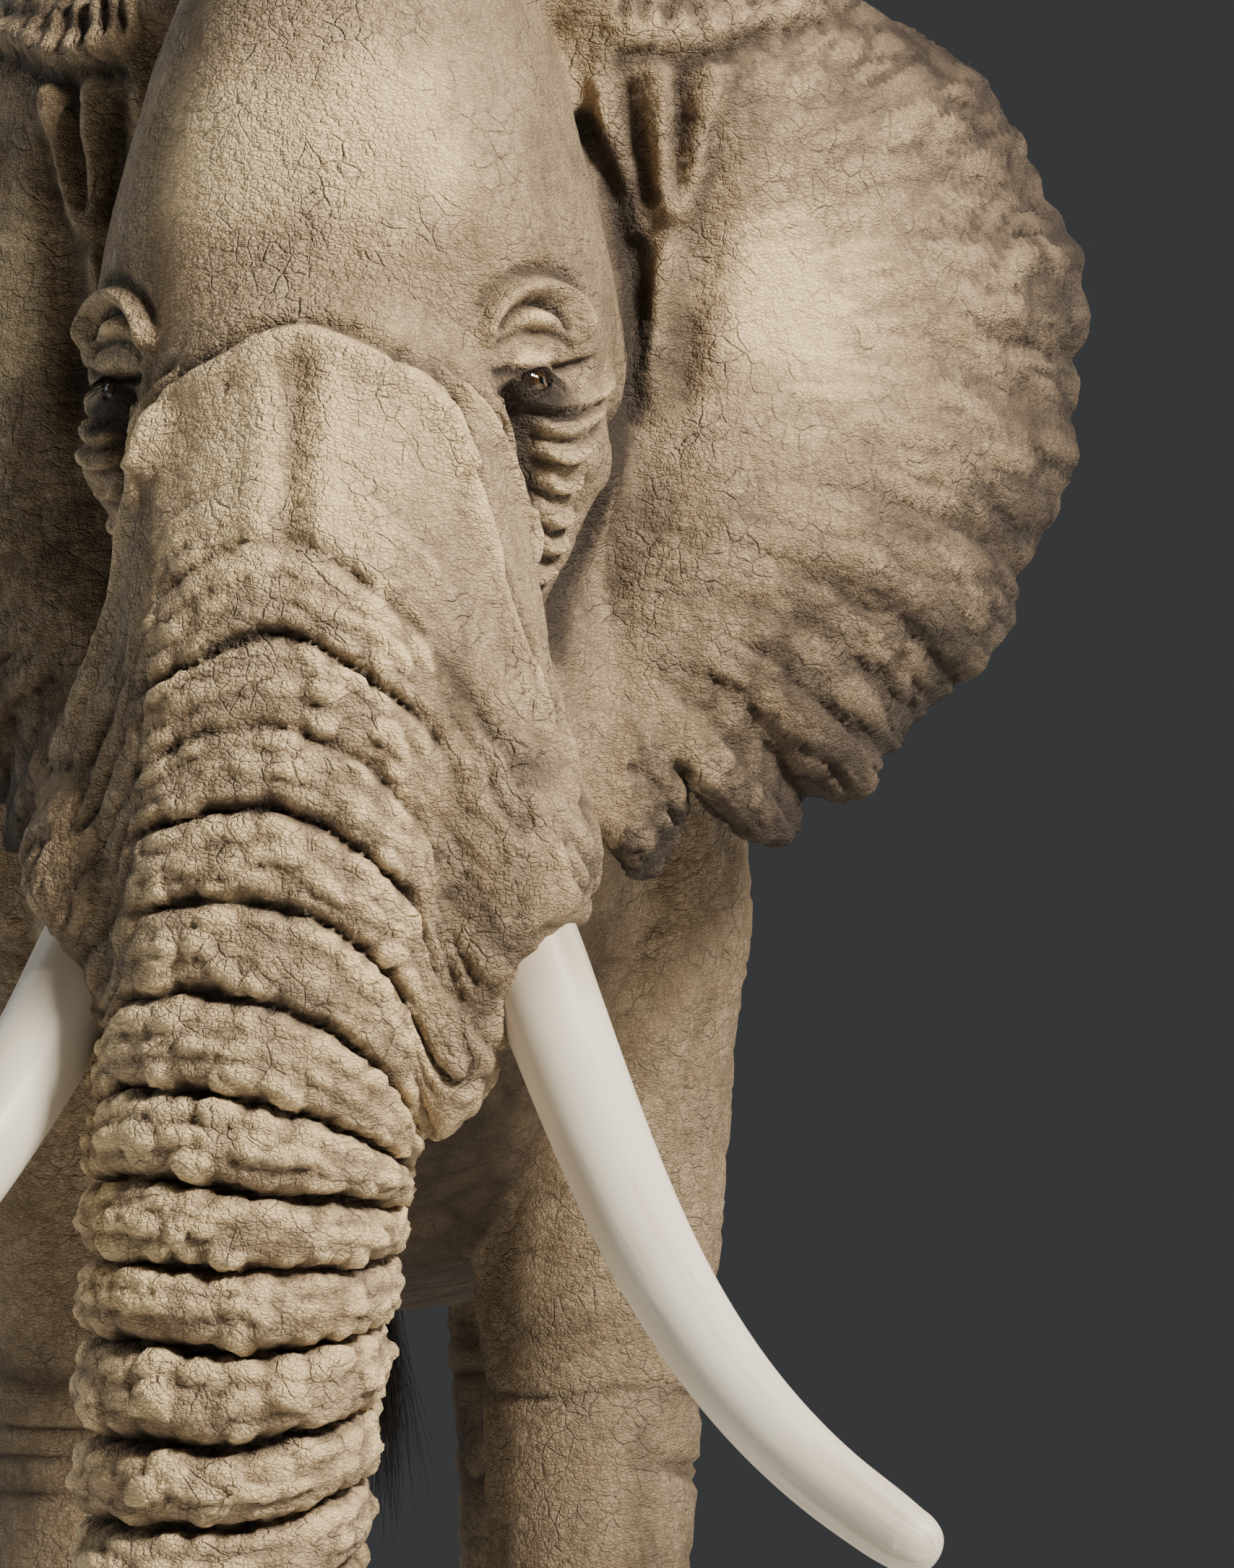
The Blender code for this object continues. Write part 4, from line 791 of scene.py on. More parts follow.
vein, vein_edge = cells(fan, (0.060, 0.180, 1.0), 43)
_, stand, short, long = ear_ridges(rim_place, reach)
between = 1 - stand
on_rim = ease(reach, 0.25, 0.9)
off_root = ease(reach, 0.12, 0.32)
fine[ear_part] += (
    (vein * vein_edge - 0.4) * (0.0035 + 0.0045 * on_rim) * off_root * (1 - 0.7 * ease(reach, 0.86, 0.97))
    + (long_fold - 0.7) * 0.012 * down_ear
    + 0.0040 * swell(half[ear_part], 0.09, 44) + 0.0020 * swell(half[ear_part], 0.035, 45))
ear_highlight = np.exp(-((half[ear_part] - EAR_HIGHLIGHT) ** 2).sum(1) / 0.30 ** 2)
# painted shade in the veins' and ridges' valleys, near the root, towards the rim and away from the painted
# highlight, painted highlights on the veins' tops, and tone that differs at random
dark[ear_part] += (
    (1 - vein_edge) * (0.22 + 0.26 * on_rim) * off_root - 0.25 * vein * vein_edge
    + 0.65 * between * (short + long) / 1.4
    + (1 - long_fold) * 0.45 * down_ear + 0.22 * (1 - ear_highlight)
    + (0.16 + 0.12 * ease(rim_place, 0.60, 0.80)) * ease(reach, 0.25, 0.65)
    + 0.62 * ease(reach, 0.65, 1.0)
    + 0.35 * bell(reach - 0.12, 0.10) - 0.12 * swell(half[ear_part], 0.06, 46))

# folds and wrinkles of the body
body_co = co - np.array(place)[:3, 3]
body = np.nonzero((head[:, 1] > -1.80) & (off_ear > 0))[0]
p = body_co[body]
warp = np.column_stack([swell(p, 0.25, s) for s in (51, 52, 53)])
behind_head = ease(head[body, 1], -1.80, -1.62) * off_ear[body]
neck_part = ease(p[:, 1], -2.0, -1.7) * (1 - ease(p[:, 1], -1.15, -0.85)) * ease(p[:, 2], 1.5, 1.8)
leg_part = (1 - ease(p[:, 2], 1.15, 1.45)) * (1 - ease(abs(normal[body, 2]), 0.5, 0.8))
joint_part = leg_part * np.maximum(bell(p[:, 2] - 1.05, 0.16), bell(p[:, 2] - 0.36, 0.12))
flank = bell(p[:, 1] + 0.28, 0.16) + bell(p[:, 1] - 0.62, 0.16)
flank *= ease(p[:, 2], 1.35, 1.6) * (1 - ease(p[:, 2], 2.2, 2.8))
_, web = cells(p + 0.05 * warp, (0.085, 0.100, 0.075), 61)
neck_fold = ridged(p + 0.10 * warp, (0.60, 0.105, 0.75), 62)
ring_fold = ridged(p + 0.03 * warp, (0.45, 0.45, 0.052), 63)
flank_fold = ridged(p + 0.08 * warp, (0.50, 0.090, 0.60), 64)
hump = swell(p, 0.34, 65) * 0.010 + swell(p, 0.13, 66) * 0.004
# shoulder blade, hip and the hollow before it, and the line of the back
for middle, reach, height in (
        ((0.62, -0.62, 2.55), (0.30, 0.10, 0.34), 0.020), ((0.45, 1.02, 2.80), (0.2, 0.15, 0.14), 0.030),
        ((0.66, 0.74, 2.42), (0.3, 0.15, 0.24), -0.028), ((0.60, -0.98, 1.95), (0.3, 0.12, 0.16), 0.018),
        ((0.55, -0.36, 2.05), (0.3, 0.10, 0.40), -0.022), ((0.0, 0.3, 3.1), (0.055, 1.3, 0.3), 0.012)):
    hump += height * np.exp(-(((np.abs(p) * (1, 0, 0) + p * (0, 1, 1) - middle) / reach) ** 2).sum(1))
flank = np.clip(flank, 0, 1)
fine[body] += behind_head * (
    hump * (1 - 0.6 * leg_part) + (web - 0.8) * 0.006 * (1 - 0.5 * leg_part)
    + (neck_fold - 0.7) * 0.020 * neck_part + (ring_fold - 0.7) * (0.005 + 0.011 * joint_part) * leg_part
    + (flank_fold - 0.7) * 0.018 * flank)
# painted shade in the folds and wrinkles, under the belly and over the legs, with tone that differs at random
# and in long streaks on the legs
dark[body] += behind_head * (
    (1 - web) * 0.30 + (1 - neck_fold) * 0.55 * neck_part
    + (1 - ring_fold) * (0.25 + 0.40 * joint_part) * leg_part + (1 - flank_fold) * 0.5 * flank
    - 0.2 * swell(p, 0.10, 67) + 0.9 * ease(-normal[body, 2], 0.4, 0.9) * (p[:, 2] > 1.1)
    + 0.26 * leg_part + 0.25 * leg_part * swell(p, (0.05, 0.05, 0.25), 68))

# a rim of skin round each toenail
NAIL_RADII = np.array((0.048, 0.030, 0.052))
NAILS = []  # foot, middle, turn
for foot, x, y, z, reach, angles, side in (
        ("front_left", 0.41, -0.945, 0.062, 0.222, (-42, -14, 14, 42), 1),
        ("front_right", -0.41, -0.785, 0.062, 0.222, (-42, -14, 14, 42), -1),
        ("hind_left", 0.38, 1.205, 0.060, 0.205, (-32, 0, 32), 1),
        ("hind_right", -0.38, 0.985, 0.060, 0.205, (-32, 0, 32), -1)):
    for angle in angles:
        turn = math.radians(angle) * side
        middle = np.array((x + reach * math.sin(turn), y - reach * math.cos(turn), z))
        NAILS.append((foot, middle, turn))
low_feet = np.nonzero(co[:, 2] < 0.16)[0]
for _, middle, turn in NAILS:
    off = body_co[low_feet] - middle
    turned_off = np.column_stack([off[:, 0] * math.cos(turn) + off[:, 1] * math.sin(turn),
                                  off[:, 1] * math.cos(turn) - off[:, 0] * math.sin(turn), off[:, 2]])
    e = np.linalg.norm(turned_off / NAIL_RADII, axis=1)
    fine[low_feet] += 0.006 * bell(e - 1.28, 0.13) - 0.006 * bell(e - 1.0, 0.12)
    dark[low_feet] += 0.8 * bell(e - 1.03, 0.09)
fine[co[:, 2] < 0.004] = 0

# the ball of the eye stands in the lids, which are wrapped round it
EYE_RADIUS, LID = 0.034, 0.0045
SLIT, SLIT_TOP, SLIT_BOTTOM = 0.030, 0.017, 0.014  # half the opening's length, and its height up and down
# the way the left eye looks, and the line of its opening
look, along_lid = np.array((0.80, -0.60, 0.0)), np.array((0.60, 0.80, 0.0))
move_points(skin, co + normal * fine[:, None])
co, normal, head, half, _ = head_frame()
from_eye = half - np.array(EYE_CENTRE)
# a runs along the opening, b up and c out of the head
a, b, c = from_eye @ along_lid, from_eye[:, 2], from_eye @ look
round_eye = np.nonzero((np.hypot(a, b) < 0.060) & (c > -0.02) & (c < 0.09))[0]
a, b, c = a[round_eye], b[round_eye], c[round_eye]
across = np.clip(1 - (a / SLIT) ** 2, 0, 1)
top, bottom = SLIT_TOP * across ** 0.8 - 0.001, -SLIT_BOTTOM * across ** 0.9 - 0.001
opened = np.minimum(ease(top - b, -0.0005, 0.002), ease(b - bottom, -0.0005, 0.002)) * (abs(a) < SLIT)
wrap = np.sqrt(np.clip((EYE_RADIUS + LID) ** 2 - a ** 2 - b ** 2, 0, None))
rim_roll = 0.003 * bell(b - top, 0.005) + 0.002 * bell(b - bottom, 0.004)
heavy = 0.008 * ease(b, 0.010, 0.020) * (1 - ease(b, 0.032, 0.044)) * (1 - ease(abs(a), 0.028, 0.042))
lidded = np.where(np.hypot(a, b) < EYE_RADIUS + LID, wrap + rim_roll * (across > 0), -1) + heavy
BLEND = 0.008  # how softly the lids run into the hide round them
soft = np.clip(0.5 + 0.5 * (lidded - c) / BLEND, 0, 1)
closed = c * (1 - soft) + lidded * soft + BLEND * soft * (1 - soft)
socket = np.sqrt(np.clip(EYE_RADIUS ** 2 - a ** 2 - b ** 2, 0, None)) - 0.007
new_c = closed * (1 - opened) + np.minimum(socket, closed) * opened
push = (new_c - c)[:, None] * look
push[:, 0] *= np.where(head[round_eye, 0] < 0, -1, 1)
co[round_eye] += push @ from_head
# painted shade in the opening and under the lid's edge, and a painted highlight on the heavy upper lid
dark[round_eye] += 0.8 * opened + 0.5 * bell(b - top, 0.003) * (across > 0) - 90 * heavy
# painted shadow in the hollow below the eye
from_eye = half - np.array(EYE_CENTRE)
below = from_eye[:, 2] < 0.012
dark += 2.0 * below * np.exp(-((from_eye @ along_lid - 0.014) / 0.078) ** 2 - (
    (from_eye[:, 2] + 0.020) / 0.034) ** 2) * (np.abs(from_eye @ look) < 0.09)
move_points(skin, co)

# the painted shade and highlights, with some tone, are kept at the points, and the mesh is thinned, first
# where the hide is plain
attribute = skin.data.attributes.new("crease", "FLOAT", "POINT")
attribute.data.foreach_set("value", np.clip(dark, -1, 1.5).astype(np.float32))
facing_back = normal @ to_head[:3, :3].T[:, 1] > 0.30
back = np.nonzero((head[:, 1] > -1.72) & ~((abs(head[:, 0]) > 0.44) & (head[:, 1] < -1.15)) | facing_back)[0]
group = skin.vertex_groups.new(name="back")
group.add(back.tolist(), 1.0, "REPLACE")
apply_modifier(skin, "DECIMATE", ratio=1 - (len(back) - BACK_POINTS) / len(skin.data.vertices),
               vertex_group="back", use_collapse_triangulate=True)
if len(skin.data.polygons) > SKIN_FACES:
    apply_modifier(skin, "DECIMATE", ratio=SKIN_FACES / len(skin.data.polygons),
                   use_collapse_triangulate=True)
skin.vertex_groups.clear()

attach(skin, "root")
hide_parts(*[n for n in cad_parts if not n.startswith(("eye", "tusk", "nail", "tail_tuft"))])


class Value:
    """A socket that Python's operators work on, by adding Math nodes."""

    def __init__(self, finish, socket):
        self.finish, self.socket = finish, socket

    def math(self, operation, *values):
        return self.finish.node("ShaderNodeMath", {"operation": operation}, dict(enumerate([self, *values])))

    def __add__(self, other):
        return self.math("ADD", other)

    def __sub__(self, other):
        return self.math("SUBTRACT", other)

    def __mul__(self, other):
        return self.math("MULTIPLY", other)

    __radd__, __rmul__ = __add__, __mul__

    def range(self, low, high, start=0.0, end=1.0):
        """The value from low to high, eased to run from start to end."""
        return self.finish.node("ShaderNodeMapRange", {"interpolation_type": "SMOOTHSTEP"}, {
            "Value": self, "From Min": low, "From Max": high, "To Min": start, "To Max": end})


class Finish:
    """A material, whose nodes are added one at a time."""

    def __init__(self, name, roughness=0.5, **fixed):
        self.material = bpy.data.materials.new(name)
        self.material.use_nodes = True
        self.tree = self.material.node_tree
        self.shader = self.tree.nodes["Principled BSDF"]
        self.shader.inputs["Roughness"].default_value = roughness
        for socket, value in fixed.items():
            self.shader.inputs[socket.replace("_", " ")].default_value = value

    def set(self, socket, value):
        """Fills a socket with a plain value, or with what another node gives."""
        if isinstance(value, Value):
            self.tree.links.new(value.socket, socket)
        else:
            socket.default_value = value

    def node(self, kind, settings=None, inputs=None, output=0):
        """Adds a node, with its settings made before its sockets are filled."""
        made = self.tree.nodes.new(kind)
        for name, value in (settings or {}).items():
            setattr(made, name, value)
        for name, value in (inputs or {}).items():
            self.set(made.inputs[name], value)
        return Value(self, made.outputs[output])

    def mix(self, factor, first, second):
        """A colour between two."""
        return self.node("ShaderNodeMix", {"data_type": "RGBA"}, {0: factor, 6: first, 7: second}, 2)

    def place(self):
        """The place on the piece, in metres."""
        return self.node("ShaderNodeTexCoord", output=3)

    def stretch(self, place, scale, turn=(0.0, 0.0, 0.0)):
        """A place turned and scaled, so that a pattern on it is drawn out."""
        return self.node("ShaderNodeMapping", {}, {"Vector": place, "Rotation": turn, "Scale": scale})

    def attribute(self, name, output=2):
        """A number kept at the piece's points, or with output 1 a vector."""
        return self.node("ShaderNodeAttribute", {"attribute_name": name}, output=output)

    def noise(self, place, scale, detail=3.0, roughness=0.5):
        """Cloudy noise from 0 to 1."""
        return self.node("ShaderNodeTexNoise", {"noise_dimensions": "3D"},
                         {"Vector": place, "Scale": scale, "Detail": detail, "Roughness": roughness})

    def net(self, place, drift_from, drift_scale, drift, scale):
        """How far a place is from the lines of an irregular net."""
        noise = self.node("ShaderNodeTexNoise", {}, {"Vector": drift_from, "Scale": drift_scale}, 1)
        moved = self.node("ShaderNodeVectorMath", {"operation": "SCALE"}, {0: noise, "Scale": drift})
        moved = self.node("ShaderNodeVectorMath", {"operation": "ADD"}, {0: place, 1: moved})
        return self.node("ShaderNodeTexVoronoi", {"feature": "DISTANCE_TO_EDGE"},
                         {"Vector": moved, "Scale": scale})

    def surface(self, colour, roughness=None, strength=0.0, distance=0.0, height=None):
        """Sends the colour, the roughness and a height, raised that far at most, to the shader."""
        self.set(self.shader.inputs["Base Color"], colour)
        if roughness is not None:
            self.set(self.shader.inputs["Roughness"], roughness)
        if height is not None:
            raised = {"Strength": strength, "Distance": distance, "Height": height}
            self.set(self.shader.inputs["Normal"], self.node("ShaderNodeBump", {}, raised))

    def wear(self, obj):
        """Gives a piece this material."""
        obj.data.materials.clear()
        obj.data.materials.append(self.material)


hide = Finish("hide", roughness=0.85, Specular_IOR_Level=0.25)
where = hide.place()
# painted shade and painted highlights kept at the hide's points
crease_shade = hide.attribute("crease")
broad = hide.noise(where, 2.2)
patchy = hide.noise(where, 14.0, 3.0, 0.6)
speckle = hide.noise(where, 90.0, 3.0, 0.6)
flat = hide.stretch(where, (1.0, 1.0, 1.6))
crack = hide.net(flat, where, 30.0, 0.02, 105.0)
crack_line = crack.range(0.0, 0.10, 1.0, 0.0)
wrinkle = hide.net(where, where, 12.0, 0.06, 27.0)
wrinkle_line = wrinkle.range(0.0, 0.065, 1.0, 0.0) * patchy.range(0.40, 0.64)
strokes = hide.noise(hide.stretch(where, (1.0, 1.0, 0.38), (0.0, 0.35, 0.2)), 110.0, 3.0, 0.62)
# tan and ochre patches, then fine strokes, then the painted shade in the folds, the painted highlights on
# raised places and the cracks
CRACK_BROWN = (0.13, 0.095, 0.065, 1)
base = hide.mix(broad.range(0.35, 0.65), (0.270, 0.190, 0.107, 1), (0.385, 0.283, 0.168, 1))
base = hide.mix(patchy.range(0.30, 0.70) * 0.60, base, (0.51, 0.390, 0.242, 1))
base = hide.mix(speckle.range(0.40, 0.75) * 0.45, base, (0.19, 0.140, 0.088, 1))
base = hide.mix(strokes.range(0.50, 0.72) * 0.35, base, (0.15, 0.105, 0.062, 1))
base = hide.mix(strokes.range(0.30, 0.48, 1.0, 0.0) * 0.25, base, (0.68, 0.54, 0.37, 1))
base = hide.mix(crease_shade.range(-0.15, 1.10, 0.0, 1.0) * 0.90, base, (0.050, 0.037, 0.027, 1))
base = hide.mix(crease_shade.range(0.95, 1.50) * 0.75, base, (0.018, 0.014, 0.011, 1))
# painted highlight on raised places, speckled
painted_highlight = crease_shade.range(-0.80, 0.0, 1.0, 0.0) * (0.50 + 0.4 * speckle)
base = hide.mix(painted_highlight, base, (0.92, 0.710, 0.400, 1))
base = hide.mix(crack_line * 0.22, base, CRACK_BROWN)
base = hide.mix(wrinkle_line * 0.28, base, CRACK_BROWN)
pebble = hide.node("ShaderNodeTexVoronoi", {"feature": "F1"}, {"Vector": flat, "Scale": 46.0})
grain = (crack.range(0.0, 0.20) * 0.30 - wrinkle_line * 0.65 + speckle * 0.6 + strokes * 0.8 + patchy * 0.9
         + pebble * -0.9)
hide.surface(base, patchy.range(0.3, 0.7, 0.90, 0.70), 0.9, 0.006, grain)
hide.wear(skin)
skin.data.shade_smooth()

# ---------------------------------------------------------------- eyes
# Two wet brown balls, each with a dark pupil in a rayed iris, set in the lids. The clear front stands a
# little proud of the ball, and a wet coat gives the glint.
head_turned = np.array(place_head)[:3, :3]
CORNEA = 0.0028  # how far the clear front stands proud
wet = Finish("wet eye", roughness=0.06, Coat_Weight=1.0, Coat_Roughness=0.03, IOR=1.38)
off_gaze = wet.attribute("off_gaze")
ray = wet.noise(wet.place(), 260.0, 2.0)
iris = wet.mix(ray.range(0.3, 0.7), (0.030, 0.013, 0.005, 1), (0.105, 0.052, 0.018, 1))
iris = wet.mix(off_gaze.range(9.0, 11.0, 1.0, 0.0), iris, (0.003, 0.003, 0.003, 1))
iris = wet.mix(off_gaze.range(21.0, 25.0), iris, (0.012, 0.007, 0.005, 1))
iris = wet.mix(off_gaze.range(27.0, 40.0), iris, (0.060, 0.040, 0.030, 1))
wet.surface(iris)
for side, name, centre in ((1, "left", eyes[0]), (-1, "right", eyes[1])):
    bpy.ops.object.select_all(action="DESELECT")
    gaze = head_turned @ (look * (side, 1, 1))
    bpy.ops.mesh.primitive_uv_sphere_add(segments=64, ring_count=40, radius=EYE_RADIUS, location=centre,
                                         rotation=Vector(gaze).to_track_quat("Z", "Y").to_euler())
    bpy.ops.object.transform_apply(location=True, rotation=True, scale=True)
    eye = bpy.context.object
    eye.name = eye.data.name = f"eyeball_{name}"
    ball_co = coordinates(eye) - np.array(centre)
    angle = np.degrees(np.arccos(np.clip(ball_co @ gaze / EYE_RADIUS, -1, 1)))
    front = 1 - ease(angle, 0.0, 27.0)
    move_points(eye, coordinates(eye) + CORNEA * front[:, None] * gaze)
    eye.data.attributes.new("off_gaze", "FLOAT", "POINT").data.foreach_set("value", angle.astype(np.float32))
    eye.data.shade_smooth()
    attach(eye, "root")
    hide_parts(f"eye_{name}")
    wet.wear(eye)

# ---------------------------------------------------------------- tusks
# Two tusks of ivory, smooth and cream coloured, each grown in one sweep from under the lip to a blunt worn
# tip. Fine grain runs down their length, and their roots and tips are stained.
TUSK_ROOT, TUSK_TIP = np.array((0.30, -2.46, 1.80)), np.array((0.842, -3.04, 1.08))
TUSK_LEAVES, TUSK_ENDS = np.array((0.37, -0.27, -0.89)), np.array((0.81, -0.42, -0.41))
TUSK_REACH, TUSK_SOCKET = 0.37, 0.10
TUSK_RADIUS, TUSK_TIP_RADIUS = 0.070, 0.040
leaves, ends = TUSK_LEAVES / np.linalg.norm(TUSK_LEAVES), TUSK_ENDS / np.linalg.norm(TUSK_ENDS)
corners = (TUSK_ROOT, TUSK_ROOT + leaves * TUSK_REACH, TUSK_TIP - ends * TUSK_REACH, TUSK_TIP)
tusk_stations = [(*(TUSK_ROOT - leaves * TUSK_SOCKET), TUSK_RADIUS, TUSK_RADIUS, 0, 2)]
for t_along in np.linspace(0, 1, 14)[:-1]:
    at = sum(c * w for c, w in zip(corners, ((1 - t_along) ** 3, 3 * t_along * (1 - t_along) ** 2,
                                             3 * t_along ** 2 * (1 - t_along), t_along ** 3)))
    radius = TUSK_RADIUS + (TUSK_TIP_RADIUS - TUSK_RADIUS) * t_along
    tusk_stations.append((*at, radius, radius, 0, 2))
BLUNT_TIP = ((0.048, 0.99), (0.034, 0.95), (0.020, 0.84), (0.009, 0.66), (0.003, 0.42), (0.0, 0.16))
for back_off, share in BLUNT_TIP:
    radius = TUSK_TIP_RADIUS * share
    tusk_stations.append((*(TUSK_TIP - ends * back_off), radius, radius, 0, 2))
TUSK_STEPS, TUSK_SEGMENTS = 6, 56
ivory = Finish("ivory", roughness=0.38, Specular_IOR_Level=0.5, Subsurface_Weight=0.0)
straight = ivory.attribute("straight", output=1)
streak = ivory.noise(ivory.stretch(straight, (1.0, 1.0, 0.05)), 75.0, 4.0, 0.6)
cloud = ivory.noise(ivory.stretch(straight, (1.0, 1.0, 0.35)), 14.0)
down = ivory.node("ShaderNodeSeparateXYZ", {}, {"Vector": straight}, 2)
cream = ivory.mix(cloud.range(0.30, 0.70), (0.78, 0.71, 0.575, 1), (0.85, 0.80, 0.665, 1))
cream = ivory.mix(streak.range(0.52, 0.74) * 0.35, cream, (0.50, 0.41, 0.29, 1))
cream = ivory.mix(down.range(0.10, 0.26, 0.75, 0.0) * cloud.range(0.25, 0.60, 0.6, 1.0), cream,
                  (0.40, 0.31, 0.20, 1))
cream = ivory.mix(down.range(0.92, 1.16) * streak.range(0.35, 0.65, 0.1, 0.5), cream, (0.45, 0.37, 0.27, 1))
ivory.surface(cream, streak.range(0.3, 0.7, 0.34, 0.52), 0.25, 0.0015, streak * 0.6 + cloud * 0.8)
for name, mirror in (("left", False), ("right", True)):
    tusk_points, tusk_faces = tube(tusk_stations, place_head, mirror, TUSK_STEPS, TUSK_SEGMENTS)
    tusk = new_mesh(f"ivory_{name}", tusk_points, tusk_faces)
    face_outward(tusk)
    rings_count = len(tusk_points) // TUSK_SEGMENTS
    middles = tusk_points.reshape(rings_count, TUSK_SEGMENTS, 3).mean(1)
    length_at = np.concatenate([[0], np.cumsum(np.linalg.norm(np.diff(middles, axis=0), axis=1))])
    turns = np.linspace(0, 2 * math.pi, TUSK_SEGMENTS, endpoint=False)
    straightened = np.stack([np.tile(0.06 * np.cos(turns), rings_count),
                             np.tile(0.06 * np.sin(turns), rings_count),
                             np.repeat(length_at, TUSK_SEGMENTS)], 1)
    tusk.data.attributes.new("straight", "FLOAT_VECTOR", "POINT").data.foreach_set(
        "vector", straightened.astype(np.float32).ravel())
    tusk.data.shade_smooth()
    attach(tusk, "root")
    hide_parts(f"tusk_{name}")
    ivory.wear(tusk)

# ---------------------------------------------------------------- toenails
# Low shields of horn along the front of each foot, four on a forefoot and three on a hind foot, grown in one
# with the skin. Each foot's nails are one piece.
horn = Finish("nail", roughness=0.6, Specular_IOR_Level=0.35)
upright = horn.noise(horn.stretch(horn.place(), (1.0, 1.0, 0.10)), 210.0)
stain = horn.noise(horn.place(), 34.0)
horn_colour = horn.mix(stain.range(0.3, 0.7), (0.36, 0.29, 0.20, 1), (0.52, 0.44, 0.33, 1))
horn_colour = horn.mix(upright.range(0.45, 0.75) * 0.5, horn_colour, (0.22, 0.17, 0.12, 1))
horn.surface(horn_colour, stain.range(0.3, 0.7, 0.5, 0.72), 0.5, 0.002, upright * 0.7 + stain * 0.5)
for foot in ("front_left", "front_right", "hind_left", "hind_right"):
    made = []
    for _, middle, turn in [n for n in NAILS if n[0] == foot]:
        bpy.ops.object.select_all(action="DESELECT")
        bpy.ops.mesh.primitive_uv_sphere_add(segments=32, ring_count=20, radius=1.0)
        nail = bpy.context.object
        ball_of_one = coordinates(nail)
        shield = np.sign(ball_of_one) * np.abs(ball_of_one) ** (0.80, 1.0, 0.86)
        shield[:, 0] *= 1 - 0.14 * shield[:, 2]
        move_points(nail, shield)
        bpy.ops.object.mode_set(mode="EDIT")
        bpy.ops.mesh.select_all(action="SELECT")
        bpy.ops.mesh.bisect(plane_co=(0, 0, -0.93), plane_no=(0, 0, 1), use_fill=True, clear_inner=True)
        bpy.ops.object.mode_set(mode="OBJECT")
        nail.location = Vector(middle) + place.translation
        nail.rotation_euler = (math.radians(-8), 0, turn)
        nail.scale = NAIL_RADII * (1.0, 1.08, 1.0)
        bpy.ops.object.transform_apply(location=True, rotation=True, scale=True)
        made.append(nail)
    bpy.ops.object.select_all(action="DESELECT")
    for nail in made:
        nail.select_set(True)
    bpy.context.view_layer.objects.active = made[0]
    bpy.ops.object.join()
    made[0].name = made[0].data.name = f"nails_{foot}"
    made[0].data.shade_smooth()
    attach(made[0], "root")
    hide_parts(*[f"nail_{foot}_{i + 1}" for i in range(len(made))])
    horn.wear(made[0])

# ---------------------------------------------------------------- hair
# Stiff black wires at the tail's end, lashes over the eyes, and sparse bristles on the chin, crown, trunk
# and back. Each hair is a tapered rod of three sides that grows out of the skin.
BRISTLE_SEED = 7
draw = np.random.default_rng(BRISTLE_SEED)


def strands(name, roots, lie, bend, lengths, width, unwrap, rings=5):
    """Tapered three-sided hairs. Each sets off from its root along lie and is drawn towards bend."""
    n = len(roots)
    share = np.linspace(0, 1, rings)
    path = roots[:, None] + lengths[:, None, None] * (lie[:, None] * share[None, :, None]
                                                      + bend[:, None] * (share ** 2)[None, :, None])
    across = unit(np.cross(lie, np.where(np.abs(lie[:, 1:2]) < 0.9, (0, 1.0, 0), (1.0, 0, 0))))
    over = np.cross(lie, across)
    ring = []
    for corner in range(3):
        turn = 2 * math.pi * corner / 3
        ring.append(path + width * (1 - 0.8 * share)[None, :, None] * (
            across[:, None] * math.cos(turn) + over[:, None] * math.sin(turn)))
    points = np.stack(ring, 2).reshape(-1, 3)
    faces, patch = [], []
    for h in range(n):
        first = h * rings * 3
        u, v = unwrap[h]
        for r in range(rings - 1):
            for corner in range(3):
                after = (corner + 1) % 3
                a = first + r * 3
                faces.append((a + corner, a + after, a + 3 + after, a + 3 + corner))
                low, high = 0.003 * r / rings, 0.003 * (r + 1) / rings
                patch += [(u + 0.001 * corner, v + low), (u + 0.001 * (corner + 1), v + low),
                          (u + 0.001 * (corner + 1), v + high), (u + 0.001 * corner, v + high)]
        last = first + (rings - 1) * 3
        faces += [(first + 2, first + 1, first), (last, last + 1, last + 2)]
        patch += [(u, v), (u + 0.001, v), (u + 0.001, v + 0.001)] * 2
    made = new_mesh(name, points, faces)
    made.data.uv_layers.new(name="OFBake").data.foreach_set("uv", np.array(patch, np.float32).ravel())
    made.data.shade_smooth()
    face_outward(made)
    return made


wiry = Finish("hair", roughness=0.45, Specular_IOR_Level=0.4)
dark_brown = wiry.mix(wiry.noise(wiry.place(), 60.0, 2.0).range(0.3, 0.7), (0.010, 0.008, 0.007, 1),
                      (0.045, 0.033, 0.024, 1))
wiry.surface(dark_brown, wiry.noise(wiry.place(), 25.0, 2.0).range(0.3, 0.7, 0.38, 0.6))

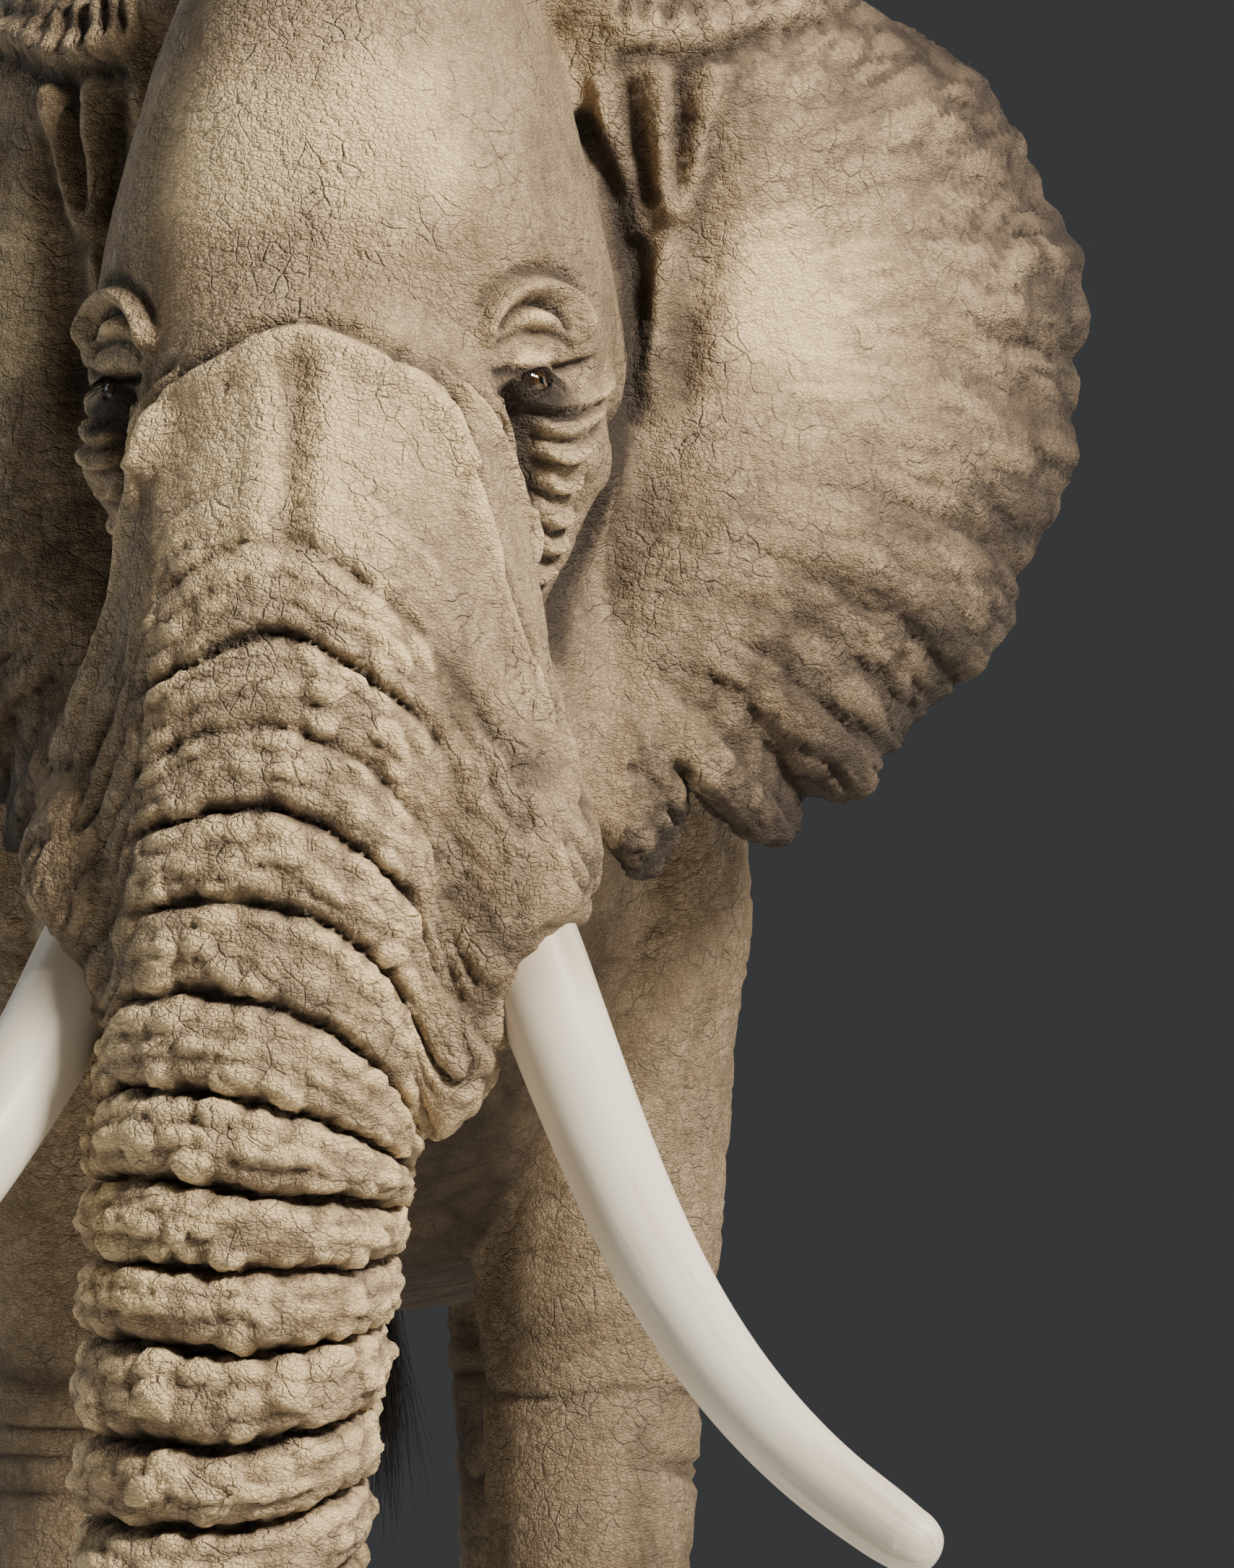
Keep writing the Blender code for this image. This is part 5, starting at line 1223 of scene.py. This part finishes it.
TAIL_HAIRS = 420
root_z = draw.uniform(1.155, 1.42, TAIL_HAIRS) - 0.02
root_turn = np.where(draw.random(TAIL_HAIRS) < 0.5, 0.5, 1.5) * math.pi + draw.normal(0, 0.55, TAIL_HAIRS)
tail_curve = smooth_curve(TAIL, 10)[::-1]
root_mid = np.stack([np.interp(root_z, tail_curve[:, 2], tail_curve[:, k]) for k in (0, 1)], 1)
tail_out = np.stack([np.cos(root_turn), np.sin(root_turn), np.zeros(TAIL_HAIRS)], 1)
tail_roots = np.column_stack([root_mid + tail_out[:, :2] * 0.026, root_z]) + np.array(place.translation)
tail_lie = unit(tail_out * draw.uniform(0.05, 0.42, TAIL_HAIRS)[:, None] + (0.02, 0.01, -1.0))
tail_bend = np.column_stack([draw.normal(0, 0.03, TAIL_HAIRS), draw.normal(0, 0.05, TAIL_HAIRS),
                             -draw.uniform(0.0, 0.1, TAIL_HAIRS)]) - tail_out * 0.10
tail_length = np.minimum(draw.uniform(0.24, 0.46, TAIL_HAIRS), (root_z - 0.70) / 1.02)
tail_unwrap = np.column_stack([0.86 + 0.10 * (root_turn / (2 * math.pi) % 1), 0.05 + 0.3 * (root_z - 1.1)])
tail_wires = strands("tail_wires", tail_roots, tail_lie, tail_bend, tail_length, 0.0016, tail_unwrap, 7)
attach(tail_wires, "root")
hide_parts("tail_tuft")
wiry.wear(tail_wires)

skin_co, skin_normal = coordinates(skin), normals(skin)
skin_head = placed(skin_co, to_head)
spots = []
for count, chosen, longest in (
        (260, (skin_head[:, 1] > -2.40) & (skin_head[:, 1] < -2.02) & (skin_head[:, 2] < 1.86)
         & (skin_head[:, 2] > 1.50) & (abs(skin_head[:, 0]) < 0.2) & (skin_normal[:, 2] < 0.2), 0.050),
        (240, (skin_head[:, 2] > 3.12) & (abs(skin_head[:, 0]) < 0.26) & (skin_head[:, 1] < -1.65), 0.035),
        (180, (skin_head[:, 2] < 0.5) & (skin_head[:, 1] < -2.25) & (skin_normal[:, 2] < 0.5), 0.022),
        (260, (skin_co[:, 2] > 2.9) & (skin_head[:, 1] > -1.5) & (skin_normal[:, 2] > 0.6), 0.030)):
    among = np.nonzero(chosen)[0]
    picked = draw.choice(among, min(count, len(among)), replace=False)
    spots += [(i, longest * draw.uniform(0.5, 1.0)) for i in picked]
picked = np.array([i for i, _ in spots])
bristle_lie = unit(skin_normal[picked] + draw.normal(0, 0.25, (len(picked), 3)) + (0, 0, -0.25))
bristle_bend = np.column_stack([draw.normal(0, 0.1, (len(picked), 2)), np.full(len(picked), -0.25)])
round_body = np.arctan2(skin_co[picked, 0], skin_co[picked, 1]) / (2 * math.pi) % 1
bristle_unwrap = np.column_stack([0.02 + 0.80 * round_body, 0.02 + 0.26 * skin_co[picked, 2]])
bristles = strands("bristles", skin_co[picked] - skin_normal[picked] * 0.002, bristle_lie, bristle_bend,
                   np.array([length for _, length in spots]), 0.0007, bristle_unwrap, 4)
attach(bristles, "root")
wiry.wear(bristles)

lash_roots, lash_lie, lash_bend, lash_patch = [], [], [], []
LASHES, LASH_ROW = 34, 0.027  # on each upper lid, and half the length of their row
for side in (1, -1):
    for place_along in np.linspace(-LASH_ROW, LASH_ROW, LASHES):
        height = SLIT_TOP * (1 - (place_along / SLIT) ** 2) ** 0.8 + 0.001 + draw.normal(0, 0.0012)
        stand = math.sqrt(max(0.0, (EYE_RADIUS + LID) ** 2 - place_along ** 2 - height ** 2))
        root = np.array(EYE_CENTRE) + along_lid * place_along + np.array((0, 0, height)) + look * stand
        out = look + along_lid * place_along * 18 + np.array((0, 0, -0.55)) + draw.normal(0, 0.10, 3)
        lash_roots.append(np.array(place_head @ Vector(root * (side, 1, 1))))
        lash_lie.append(head_turned @ (out * (side, 1, 1)))
        lash_bend.append((0, 0, -0.30))
        lash_patch.append((0.5 + 0.1 * side + place_along, 0.72 + height))
lashes = strands("lashes", np.array(lash_roots), unit(np.array(lash_lie)), np.array(lash_bend),
                 draw.uniform(0.025, 0.042, 2 * LASHES), 0.0008, lash_patch, 5)
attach(lashes, "root")
wiry.wear(lashes)
